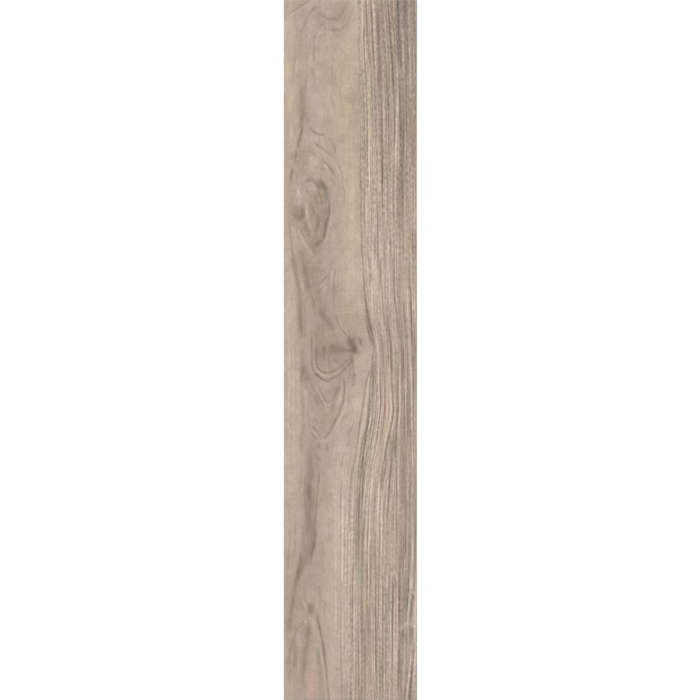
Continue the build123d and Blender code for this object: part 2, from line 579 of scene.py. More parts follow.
# Wedge between the two knots
MIDDLE_FIGURE = (
    Stroke(-20, 4.2, ((13, 436), (17, 456), (21.5, 473), (24.5, 489), (26, 510), (27, 532), (29, 558),
        (31, 585)), fade=0.1),
    Stroke(-11, 4.2, ((29, 420), (32, 440), (35.5, 458), (38.5, 474), (42, 491), (46, 510))),
    Stroke(-7, 9, ((36, 440), (44, 470), (52, 500), (58, 530))),
    Stroke(11, 2.1, ((24, 454), (28, 474), (31, 489), (35, 504))),
    Stroke(9, 2.0, ((45, 470), (48.5, 490), (52, 508), (55, 522))),
    Stroke(-9, 2.4, ((46, 502), (50, 518), (53, 532), (57, 545))),
    Stroke(-8, 6.0, ((62, 505), (66, 530), (68, 552))),
    Stroke(-8, 5, ((29, 505), (29, 545), (30, 600)), Tint.BROWN),
    Stroke(15, 1.6, ((60, 482), (67, 474), (75, 466))),
    Stroke(-14, 1.6, ((61, 488), (69, 479), (78, 469))),
    Stroke(15, 1.6, ((61, 494), (69, 486), (77, 477))),
    Stroke(-14, 1.6, ((58, 504), (66, 495), (74, 487))),
    Stroke(9, 1.3, ((64, 502), (70, 495), (78, 488))),
    Stroke(-9, 1.3, ((62, 470), (70, 461), (78, 453))),
    Stroke(9, 1.3, ((64, 463), (72, 456), (80, 449))),
    Stroke(6, 2.2, ((85, 452), (82.5, 470), (80, 490), (78, 506), (75.5, 522), (73, 536))),
    Stroke(-8, 1.9, ((82, 448), (79.5, 466), (77, 486), (75, 505))),
    Stroke(-9, 1.7, ((90, 452), (87, 472), (85.5, 492), (85, 512), (86, 530), (88.5, 546))),
    Stroke(6, 2, ((93, 448), (90, 466), (88.5, 484), (88.5, 500))),
    Stroke(-13, 4.2, ((58, 528), (69, 544), (76, 553), (82, 561), (92, 570))),
    Stroke(-9, 2.3, ((35, 512), (36, 548), (37, 588))),
)
MIDDLE_PATCHES = (
    Patch(-6, (55, 470), (17, 34), Tint.GREY, 0.3),
    Patch(-6, (64, 560), (12, 20)),
    Patch(6, (16, 515), (6, 50), Tint.PINK, 0.5),
    Patch(5, (43, 530), (5, 16)),
    Patch(5, (52, 446), (8, 8)),
    Patch(0, (30, 535), (5, 14), Tint.PINK, 0.4),
    Patch(0, (97, 512), (7, 18), Tint.PINK, 1.1),
    Patch(0, (99, 540), (4, 7), Tint.PURPLE, 1.2),
    Patch(0, (111, 545), (6, 12), Tint.YELLOW, 1.1),
    Patch(-2, (108, 528), (12, 8), Tint.BROWN, 0.9),
    Patch(4, (126, 412), (8, 14), Tint.PINK, 0.8),
    Patch(4, (121, 472), (7, 12), Tint.PINK, 0.6),
    Patch(-16, (225, 418), (3.5, 24), Tint.PURPLE, 1.2),
    Patch(0, (225, 418), (4, 26), Tint.BLUE, 0.8),
    Patch(-8, (216, 455), (4, 12), Tint.GREEN, 1.4),
    Patch(-8, (206, 464), (5, 9), Tint.GREY, 0.6),
)

# Second knot, a bowl under a dark eye, and the bowls below it
SECOND_KNOT = (
    Stroke(-21, 1.8, ((87, 535), (89.5, 547), (94, 558), (99, 564), (106, 571.5), (113, 580))),
    Stroke(-24, 1.7, ((111.5, 563), (112.5, 572), (114, 582)), Tint.PURPLE),
    Stroke(-20, 1.5, ((119.5, 568), (119.5, 577), (119, 588)), Tint.PURPLE),
    Stroke(-12, 1.3, ((125, 566), (124, 576), (122, 586))),
    Stroke(-12, 6.5, ((76, 588), (86, 594), (96, 598), (106, 600), (114, 601))),
    Stroke(-22, 3.6, ((106, 600), (116, 602), (126, 604), (134, 603))),
    Stroke(16, 1.9, ((43, 566), (43, 590), (43, 610), (44, 622), (46.5, 632), (51, 640))),
    Stroke(-18, 1.8, ((47.3, 574), (47, 600), (47.2, 620), (48.8, 632), (53.5, 640), (60, 646)), fade=0.1),
    Stroke(-27, 1.9, ((53, 639.5), (60, 646), (67, 651), (75, 653), (82, 649), (90, 645)), fade=0.1),
    Stroke(-25, 2.1, ((86, 647), (92, 643.5), (98, 639), (103, 633.5), (108, 627), (112, 620)), fade=0.1),
    Stroke(12, 1.8, ((51, 608), (51.5, 624), (56, 634), (63, 640.5), (72, 644.5), (80, 644.5), (89, 640),
        (96, 634))),
    Stroke(-21, 1.9, ((56.5, 615), (57.5, 628), (62, 635.5), (70, 639), (78, 638.5)), fade=0.12),
    Stroke(-24, 2.2, ((76, 639), (85, 636.5), (92, 632), (98, 627), (104, 621.5), (109.5, 614)), fade=0.12),
    Stroke(-18, 2.8, ((55, 594), (55.5, 608), (56, 622))),
    Stroke(-14, 3.0, ((69, 590), (68, 606), (67, 622))),
    Stroke(-10, 1.4, ((62, 600), (62, 618), (62, 632))),
    Stroke(-12, 1.8, ((77, 604), (77.5, 622), (77, 636))),
    Stroke(8, 1.6, ((82, 606), (88, 611), (96, 610))),
    Stroke(8, 1.5, ((80, 622), (88, 626), (95, 621))),
    Stroke(-10, 1.5, ((82, 616), (90, 620), (99, 614))),
    Stroke(-24, 2.8, ((115.5, 612), (118, 627), (120, 638), (120, 650), (118.5, 668))),
    Stroke(-17, 2, ((111.5, 620), (113, 638), (115.5, 656))),
    Stroke(-11, 1.3, ((108, 634), (110, 644), (112, 660))),
    Stroke(-21, 2.0, ((102, 644), (104, 656), (104.2, 670), (102.5, 686), (99.5, 698), (95.5, 709),
        (90.5, 719), (85, 729), (79.5, 738), (74, 747), (69, 757)), fade=0.08),
    Stroke(-15, 2.8, ((97, 656), (92, 670), (88, 684), (84, 699), (79, 713))),
    Stroke(11, 1.9, ((99.5, 652), (99.5, 668), (95.5, 686), (89, 703))),
    Stroke(10, 2.0, ((107.5, 650), (108, 672), (105, 694), (98, 714), (90, 729), (81, 743))),
    Stroke(-13, 2.2, ((43, 650), (50, 664), (58, 678), (65, 690), (70, 700))),
    Stroke(-13, 2.0, ((56, 658), (63, 672), (70, 684), (76, 690), (83, 684), (90, 668))),
    Stroke(9, 1.8, ((50, 656), (57, 670), (64, 683), (70, 692), (78, 694), (84, 688))),
    Stroke(-15, 2.8, ((51, 676), (56, 686), (61, 696))),
    Stroke(-17, 2.6, ((49, 714), (54, 720), (59, 727))),
    Stroke(-23, 2.0, ((49, 729), (54, 736), (60, 742))),
    Stroke(-15, 1.9, ((45, 739), (50, 747), (59, 754))),
    Stroke(13, 1.7, ((47, 733), (55, 745), (64, 756), (70, 755), (78, 743))),
    Stroke(10, 1.6, ((45, 711), (50, 718), (56, 724), (62, 732))),
    Stroke(10, 1.5, ((44, 722), (49, 728), (56, 734), (62, 739))),
    Stroke(-11, 1.6, ((66, 706), (72, 712), (79, 708))),
    Stroke(-10, 1.6, ((62, 718), (69, 727), (76, 724))),
    Stroke(-15, 2.0, ((57, 762), (61, 767), (66, 773))),
    Stroke(-21, 2.0, ((74, 758), (74, 766), (75, 775))),
    Stroke(10, 1.5, ((60, 771), (66, 778), (72, 772))),
    Stroke(-12, 1.8, ((56, 778), (60, 786), (66, 790))),
    Stroke(-13, 4.5, ((32, 585), (32, 615), (33, 645), (32, 665))),
    Stroke(-13, 4.0, ((34, 628), (40, 643), (46, 655))),
    Stroke(-11, 2.2, ((30, 650), (31, 690), (33, 730), (32, 760))),
    Stroke(8, 2.0, ((38, 664), (38.5, 690), (39, 716))),
)
SECOND_KNOT_PATCHES = (
    Patch(-32, (112.5, 585), (5, 7), Tint.PURPLE, 0.8),
    Patch(-36, (118.5, 592), (5.5, 9), Tint.PURPLE, 0.8, 0.35),
    Patch(-20, (122.5, 599), (3.5, 4), Tint.PURPLE, 0.8),
    Patch(-38, (131.5, 586), (2.4, 6.5), Tint.PURPLE, 1.0, 0.3),
    Patch(-26, (115.5, 615), (5.5, 8), Tint.PURPLE, 0.6),
    Patch(-8, (122, 592), (12, 14)),
    Patch(-9, (60, 596), (15, 34), Tint.BROWN, 0.3),
    Patch(-9, (94, 598), (20, 12)),
    Patch(-5, (37, 622), (8, 34)),
    Patch(4, (70, 663), (8, 9), Tint.PURPLE, 1.0),
    Patch(-6, (94, 662), (7, 16)),
    Patch(-8, (84, 715), (10, 16), Tint.BROWN, 0.3),
    Patch(-7, (48, 785), (12, 22), Tint.PURPLE, 0.3),
    Patch(3, (15, 680), (7, 22), Tint.PINK, 0.8),
    Patch(-2, (91, 762), (7, 14), Tint.PURPLE, 0.8),
    Patch(8, (128, 630), (7, 18)),
    Patch(6, (105, 645), (4, 5)),
)

# Dark heart below the second knot, the small knot at the foot, and lines beside them
LOWER_FIGURE = (
    Stroke(7, 1.6, ((8.5, 540), (8.5, 660), (8, 790))),
    Stroke(-6, 1.5, ((12, 550), (12, 680), (11.5, 800))),
    Stroke(7, 1.6, ((16, 560), (16, 680), (15.5, 790)), Tint.PINK),
    Stroke(-6, 1.5, ((20, 545), (20, 660), (19.5, 780))),
    Stroke(6, 1.6, ((24.5, 560), (24.5, 680), (24, 800))),
    Stroke(-8, 2.2, ((31, 610), (30.5, 700), (30.5, 800))),
    Stroke(-9, 1.4, ((124, 690), (118, 712), (112, 736), (106, 758))),
    Stroke(8, 1.5, ((128, 676), (122, 700), (115.5, 726), (110, 744))),
    Stroke(-10, 5.0, ((44, 785), (46, 800), (48, 815), (49, 830))),
    Stroke(-6, 4.6, ((39, 802), (41, 826), (42.5, 846), (44, 868)), Tint.GREY),
    Stroke(-15, 6.0, ((44, 820), (46, 850), (47, 885), (47.5, 910), (48, 935), (45, 962)), Tint.GREY, 0.15),
    Stroke(-22, 1.8, ((63, 806), (60.5, 822), (58, 840), (56.5, 858), (55.5, 876), (54, 895), (53, 915),
        (52, 932), (49.5, 946), (47, 960), (44, 974)), fade=0.08),
    Stroke(-15, 1.7, ((37.5, 812), (35.5, 830), (35, 848), (37, 870), (39.5, 892), (40, 915), (41, 935))),
    Stroke(8, 2.0, ((32.5, 806), (31.5, 826), (31.5, 850))),
    Stroke(-14, 6.5, ((46, 935), (40, 955), (32, 972), (24, 1000))),
    Stroke(-16, 2.0, ((29, 942), (29, 954), (29, 968)), fade=0.3),
    Stroke(-13, 5.2, ((29, 955), (24, 980), (20, 1003), (16, 1030), (12, 1058), (8, 1090)), Tint.BROWN,
        0.12),
    Stroke(-11, 2.4, ((28, 962), (25.5, 980), (22.5, 998), (19.5, 1016), (16.5, 1036), (13, 1056))),
    Stroke(-9, 1.8, ((9, 850), (9.5, 900), (8, 950), (5, 1000))),
    Stroke(-8, 1.8, ((20, 860), (20, 910), (18, 960))),
    Stroke(-9, 2.2, ((30, 890), (32, 915), (33, 940))),
    Stroke(-17, 1.9, ((42, 1052), (35, 1064), (28, 1074), (22, 1083), (16.5, 1098), (12, 1112), (8, 1128),
        (5, 1146))),
    Stroke(12, 1.9, ((40, 1058), (34, 1069), (28, 1079), (23, 1090))),
    Stroke(-16, 4.4, ((45, 1056), (43, 1080), (40, 1108), (37, 1130), (35, 1150), (32, 1176)), Tint.BROWN),
    Stroke(-26, 2.4, ((55, 1048), (58.5, 1060), (61, 1074), (64.5, 1090), (67.5, 1106), (70, 1125),
        (72, 1145), (74, 1165), (76, 1185), (78, 1212)), fade=0.08),
    Stroke(-9, 3.0, ((57, 1052), (60, 1066), (63, 1082))),
    Stroke(-13, 2.6, ((57, 1098), (60.5, 1128), (63, 1158), (66, 1184), (69, 1214)), Tint.YELLOW),
    Stroke(10, 1.8, ((64, 1106), (67, 1132), (70, 1160), (72.5, 1190))),
    Stroke(-13, 1.9, ((61, 998), (62, 1022), (62, 1050))),
    Stroke(-14, 1.9, ((37, 1006), (38, 1018), (36, 1032))),
    Stroke(-12, 5, ((44.5, 1030), (46, 1044), (47, 1058)), fade=0.3),
    Stroke(10, 1.5, ((28, 1025), (35, 1034), (41, 1046))),
    Stroke(-11, 1.5, ((31, 1022), (38, 1031), (44, 1040))),
    Stroke(-10, 1.5, ((24, 1030), (31, 1038), (37, 1050))),
    Stroke(8, 2.3, ((43, 1018), (48, 1014), (53, 1022))),
    Stroke(9, 2.0, ((50, 1060), (52, 1075), (54, 1092))),
    Stroke(-11, 3.0, ((20, 1092), (18.5, 1118), (18, 1150)), Tint.BROWN),
    Stroke(-11, 1.6, ((30, 1160), (34, 1172), (39, 1184))),
    Stroke(-9, 2.0, ((12, 1140), (10, 1165), (9, 1200))),
    Stroke(9, 1.8, ((26, 1110), (25, 1135), (24, 1160))),
    Stroke(-14, 1.3, ((102, 800), (99.5, 830), (97.5, 870), (97, 930), (97, 1000), (97.5, 1060), (98, 1120),
        (99, 1206)), fade=0.06),
    Stroke(-14, 1.2, ((92.5, 1008), (92.7, 1050), (93, 1104))),
    Stroke(11, 1.6, ((103, 836), (101.5, 870), (100.5, 930), (100.5, 1000), (101, 1080), (102, 1180)),
        fade=0.08),
    Stroke(-10, 1.2, ((107, 800), (104.5, 850), (103.7, 920), (103.5, 1000), (104, 1100), (105, 1200))),
    Stroke(9, 1.4, ((109.5, 810), (107, 860), (106.2, 930), (106, 1000), (106.5, 1080))),
    Stroke(-11, 1.2, ((110, 850), (109, 920), (109, 1000), (109.5, 1100), (110, 1200))),
    Stroke(11, 1.5, ((114, 830), (112, 880), (111.5, 950), (112, 1040), (112.5, 1120))),
    Stroke(11, 1.7, ((118, 835), (117, 880), (116.5, 940), (116.5, 1000))),
    Stroke(-13, 1.6, ((120, 860), (119.5, 930), (118.5, 1000))),
)
LOWER_PATCHES = (
    Patch(-6, (43, 860), (6, 36), Tint.PURPLE, 0.9),
    Patch(-6, (37, 957), (9, 12)),
    Patch(-24, (46, 1043), (5, 8)),
    Patch(-4, (44, 1005), (14, 24)),
    Patch(-7, (44, 1072), (4.5, 14), Tint.GREY, 0.5),
    Patch(-5, (34, 1150), (6, 24), Tint.BROWN, 0.5),
    Patch(4, (51, 1155), (7, 44), Tint.PINK, 1.7),
    Patch(3, (48, 1188), (8, 22), Tint.PINK, 1.0),
    Patch(0, (47, 1175), (8, 24), Tint.BROWN, 0.8),
    Patch(-4, (60, 1135), (3.5, 26), Tint.GREEN, 1.0),
    Patch(-6, (127, 930), (6, 44), Tint.GREEN, 0.6),
    Patch(-6, (131, 985), (6, 20), Tint.GREEN, 2.2),
    Patch(-7, (122, 1030), (6, 30), Tint.PURPLE, 0.7),
    Patch(-8, (124, 1100), (8, 50), Tint.PURPLE, 0.9),
    Patch(-9, (127, 1175), (6, 28), Tint.BROWN, 1.0),
    Patch(0, (138, 1145), (4, 10), Tint.YELLOW, 1.2),
    Patch(0, (139, 1035), (4, 12), Tint.YELLOW, 1.0),
    Patch(22, (219, 1069), (2.5, 5)),
    Patch(18, (223, 1016), (3, 5), Tint.PINK, 1.2),
    Patch(-15, (204, 1089), (6, 10), Tint.BLUE, 0.9),
    Patch(-6, (212, 1030), (8, 34), Tint.GREEN, 1.2),
    Patch(-5, (203, 1125), (5, 30), Tint.GREEN, 0.9),
    Patch(-5, (188, 765), (8, 14), Tint.GREEN, 1.2),
    Patch(-3, (142, 768), (9, 28), Tint.GREEN, 1.2),
    Patch(-4, (214, 678), (5, 12), Tint.GREEN, 1.6),
    Patch(-6, (216, 610), (4, 8), Tint.GREEN, 1.6),
    Patch(-3, (206, 830), (9, 40), Tint.PURPLE, 0.5),
    Patch(-4, (214, 940), (8, 40), Tint.GREEN, 0.8),
)

# Streaks on the right, down the tile
UPPER_STREAKS = (
    Stroke(-28, 1.3, ((140.5, -15), (141, 15), (142.7, 43), (145, 75), (146.5, 103), (147.5, 128))),
    Stroke(-44, 1.6, ((147, -10), (149.5, 12), (151.3, 41), (152.4, 64), (154, 92), (155, 113),
        (156.5, 142))),
    Stroke(36, 2.4, ((151, -25), (153.4, 11), (155.6, 43), (157.2, 71), (158.2, 96), (158.6, 125),
        (158, 145)), Tint.YELLOW),
    Stroke(18, 1.3, ((142, -14), (143.8, 12), (145, 38))),
    Stroke(-22, 4.2, ((160, -5), (161.6, 30), (163, 60), (164, 100), (164.8, 160)), Tint.PURPLE),
    Stroke(0, 4.5, ((160, 20), (163, 60), (164, 100), (165, 150)), Tint.PURPLE),
    Stroke(-27, 1.4, ((166, 125), (167.4, 170), (168.2, 230), (168.3, 290), (168.5, 355)), Tint.PURPLE),
    Stroke(20, 1.4, ((165, 30), (168.4, 80), (171, 130), (172.4, 170), (172.2, 215), (171.8, 262)),
        fade=0.12),
    Stroke(-16, 1.2, ((174.5, 120), (175.5, 180), (176, 240))),
    Stroke(-37, 1.3, ((177, -25), (179.8, 26), (181.3, 47), (182.8, 71), (184, 92), (185, 111), (186, 129),
        (187, 175))),
    Stroke(21, 1.4, ((187.5, -12), (188.8, 15), (189.5, 40)), Tint.PINK),
    Stroke(18, 1.2, ((186, 48), (186.7, 65), (187, 82)), Tint.YELLOW),
    Stroke(23, 1.2, ((182, 85), (182.6, 110), (183, 150), (183, 198))),
    Stroke(18, 1.2, ((190.3, 36), (191, 60), (192, 84))),
    Stroke(30, 1.3, ((192.5, 85), (193.2, 115), (194.2, 140), (194.8, 160), (194.4, 195))),
    Stroke(39, 1.5, ((194.5, 160), (194.2, 195), (193.4, 225), (192.5, 250), (192, 295))),
    Stroke(-21, 1.2, ((189.5, 180), (189.5, 215), (189, 260))),
    Stroke(-24, 3.2, ((193, -15), (195.5, 25), (196, 60), (196.3, 90), (197, 125)), Tint.BLUE),
    Stroke(-22, 2.6, ((198, 115), (198.5, 160), (199, 200), (199.5, 250)), Tint.BLUE),
    Stroke(28, 1.3, ((201.5, 12), (202.3, 40), (203.4, 75), (205.3, 105), (206, 140), (206, 175))),
    Stroke(-25, 1.4, ((200.3, 55), (200.8, 90), (201.5, 125))),
    Stroke(-25, 1.4, ((206.5, 80), (207.7, 120), (208.5, 160), (209, 200), (209.3, 235))),
    Stroke(-18, 3, ((207, -25), (208, 20), (209, 60)), Tint.BLUE),
    Stroke(16, 1.2, ((213.5, 15), (214.5, 40), (216, 64))),
    Stroke(34, 1.4, ((215.2, 66), (215.8, 92), (216.7, 112), (217.7, 135), (218, 162))),
    Stroke(-23, 1.6, ((211, 45), (212, 90), (213, 145))),
    Stroke(-28, 1.4, ((222, -25), (223, 25), (222.5, 65))),
    Stroke(-23, 1.4, ((220.5, 50), (221, 100), (222, 170))),
    Stroke(18, 1.2, ((222.7, 72), (223.5, 110), (224, 150))),
    Stroke(-21, 1.4, ((226, 35), (226.3, 100), (226.5, 180))),
    Stroke(-18, 1.4, ((127.5, 60), (127.7, 88), (128.5, 114))),
    Stroke(-21, 1.3, ((129.2, 110), (129.7, 145), (131, 175), (131.5, 210), (131.4, 250))),
    Stroke(-28, 1.3, ((131.2, 240), (131.4, 280), (131.5, 335))),
    Stroke(12, 1.6, ((134.5, -20), (134.8, 25), (135, 65))),
    Stroke(-12, 1.2, ((138.3, -20), (138.8, 40), (139, 85))),
    Stroke(18, 1.4, ((139, 60), (139.6, 85), (141, 110)), Tint.YELLOW),
    Stroke(5, 1.6, ((144.4, 110), (145.6, 145), (146, 245)), Tint.GREEN),
    Stroke(15, 1.3, ((140.2, 135), (140.6, 190), (141, 258))),
    Stroke(-17, 1.2, ((136.8, 150), (137, 190), (137.2, 240))),
    Stroke(-14, 1.3, ((148.3, 125), (148.4, 165), (148.5, 212))),
    Stroke(-7, 4, ((157, 140), (157, 190), (158, 245)), Tint.GREY),
    Stroke(-17, 1.3, ((178.6, 120), (179.4, 180), (179.4, 240), (179, 300))),
    Stroke(-16, 1.4, ((214.5, 150), (215, 200), (215.5, 260))),
    Stroke(-14, 1.4, ((204, 170), (204.5, 220), (204.5, 280))),
    Stroke(-18, 1.6, ((219, 190), (219.5, 235), (219, 285)), Tint.PURPLE),
)
MIDDLE_STREAKS = (
    Stroke(15, 1.6, ((144, 228), (144.4, 290), (144.6, 375)), Tint.PINK),
    Stroke(-15, 1.2, ((147.6, 245), (148.2, 300), (148.4, 390))),
    Stroke(-16, 1.2, ((136.4, 240), (137, 300), (137.6, 398))),
    Stroke(16, 1.3, ((153, 262), (153.5, 285), (153.5, 312)), Tint.PINK),
    Stroke(28, 1.3, ((163.5, 240), (164, 265), (164.2, 300), (164, 340))),
    Stroke(-12, 1.5, ((168, 280), (168.2, 320), (168, 354))),
    Stroke(-25, 1.3, ((158.5, 316), (158.8, 350), (160, 380))),
    Stroke(-28, 1.3, ((161, 345), (161, 390), (161, 430), (161.3, 475))),
    Stroke(-18, 1.2, ((169.5, 335), (169.8, 360), (170, 390))),
    Stroke(-23, 1.3, ((177, 280), (177, 340), (177, 400))),
    Stroke(25, 1.3, ((174.5, 280), (174.9, 320), (175, 395))),
    Stroke(25, 1.4, ((181.5, 295), (181.7, 330), (182, 366))),
    Stroke(-32, 1.4, ((187.7, 262), (187.7, 330), (187.7, 396))),
    Stroke(21, 1.3, ((191, 295), (191, 340), (191, 380))),
    Stroke(-32, 1.6, ((196.3, 272), (196.3, 340), (196.3, 415))),
    Stroke(-25, 1.5, ((203.8, 304), (203.8, 345), (203.6, 386))),
    Stroke(-21, 1.4, ((203.5, 365), (203.5, 400), (204, 446))),
    Stroke(-18, 1.5, ((208.5, 264), (208.8, 320), (209, 386))),
    Stroke(-21, 1.7, ((216.7, 284), (216.7, 308), (216.5, 330))),
    Stroke(-18, 1.4, ((212.8, 316), (212.8, 355), (213, 396))),
    Stroke(-18, 1.4, ((217.7, 345), (217.7, 385), (217, 426))),
    Stroke(18, 1.2, ((154.5, 316), (154.5, 360), (154, 416))),
    Stroke(25, 1.6, ((141, 314), (141, 350), (141.5, 390)), Tint.YELLOW),
    Stroke(-18, 1.6, ((132, 294), (132.2, 340), (132, 392))),
    Stroke(-18, 1.3, ((138.5, 312), (138.5, 350), (138.7, 396))),
    Stroke(-16, 1.5, ((133.3, 385), (133.5, 415), (134, 450))),
    Stroke(23, 1.4, ((165.2, 388), (165.3, 418), (165, 448))),
    Stroke(18, 1.4, ((179, 404), (179, 440), (179.5, 476))),
    Stroke(-16, 1.3, ((172.7, 406), (172.7, 435), (172.5, 466))),
    Stroke(15, 1.3, ((151.5, 380), (151.5, 420), (152.4, 470))),
    Stroke(-16, 1.2, ((156.5, 400), (156.5, 425), (156.5, 450))),
    Stroke(-16, 1.2, ((183.8, 400), (184, 440), (184.5, 470))),
    Stroke(-16, 1.3, ((147, 440), (148, 465), (149, 490))),
    Stroke(-18, 1.2, ((143, 400), (143.5, 425), (144, 450))),
    Stroke(-16, 1.2, ((189.5, 400), (190, 430), (190, 460))),
    Stroke(14, 1.3, ((194, 420), (194.5, 450), (195, 485))),
    Stroke(21, 1.4, ((219.5, 425), (220, 450), (220, 480))),
    Stroke(-10, 1.7, ((137, 460), (138.5, 485), (139.5, 508), (142, 526))),
    Stroke(-20, 1.4, ((136.6, 470), (139.4, 505), (142.2, 535), (146.2, 560), (150, 580), (153.4, 602)),
        fade=0.12),
    Stroke(-18, 1.3, ((139.8, 496), (143.4, 528), (147.4, 550), (151.8, 572), (156, 598)), fade=0.12),
    Stroke(-16, 1.3, ((134.6, 478), (137.6, 515), (140.4, 542), (143.6, 564), (147, 588)), fade=0.12),
    Stroke(-7, 4, ((141, 520), (144.4, 548), (149, 572), (153, 596))),
    Stroke(-23, 1.2, ((152, 542), (154.5, 560), (159, 580))),
    Stroke(-18, 1.2, ((143, 560), (146, 574), (150, 590))),
    Stroke(-25, 1.5, ((164.6, 440), (167, 480), (169, 515), (171.4, 545), (174.6, 563), (177, 580),
        (178.8, 600), (179.6, 634)), fade=0.1),
    Stroke(-32, 1.6, ((176, 530), (177.6, 553), (179.6, 568), (182, 584), (183.6, 602), (184.5, 646))),
    Stroke(-30, 1.6, ((187, 430), (188, 468), (189, 502), (191.8, 525), (194.8, 549), (197.4, 573),
        (199, 604)), fade=0.1),
    Stroke(-23, 1.4, ((205.5, 504), (206, 535), (208, 557), (210.2, 578), (211.3, 612))),
    Stroke(-37, 1.5, ((215, 448), (215.6, 480), (217.7, 505), (218.8, 536), (219, 568), (220.5, 604))),
    Stroke(10, 4, ((155, 430), (156.5, 475), (156.5, 522))),
    Stroke(18, 1.4, ((150.8, 475), (151.3, 505), (152, 536))),
    Stroke(18, 1.4, ((162.5, 494), (163, 525), (164, 556))),
    Stroke(28, 1.4, ((181, 454), (181.3, 495), (181.8, 536))),
    Stroke(21, 1.7, ((185, 500), (185.8, 540), (187.5, 580))),
    Stroke(34, 1.4, ((220.6, 475), (221.3, 508), (221.8, 540))),
    Stroke(21, 1.4, ((212, 484), (212.5, 520), (213.5, 552))),
    Stroke(23, 1.3, ((223.5, 500), (224, 530), (224.5, 560))),
    Stroke(21, 1.3, ((166, 540), (168, 562), (171, 584))),
    Stroke(18, 1.3, ((189, 560), (190.5, 580), (192, 606))),
)
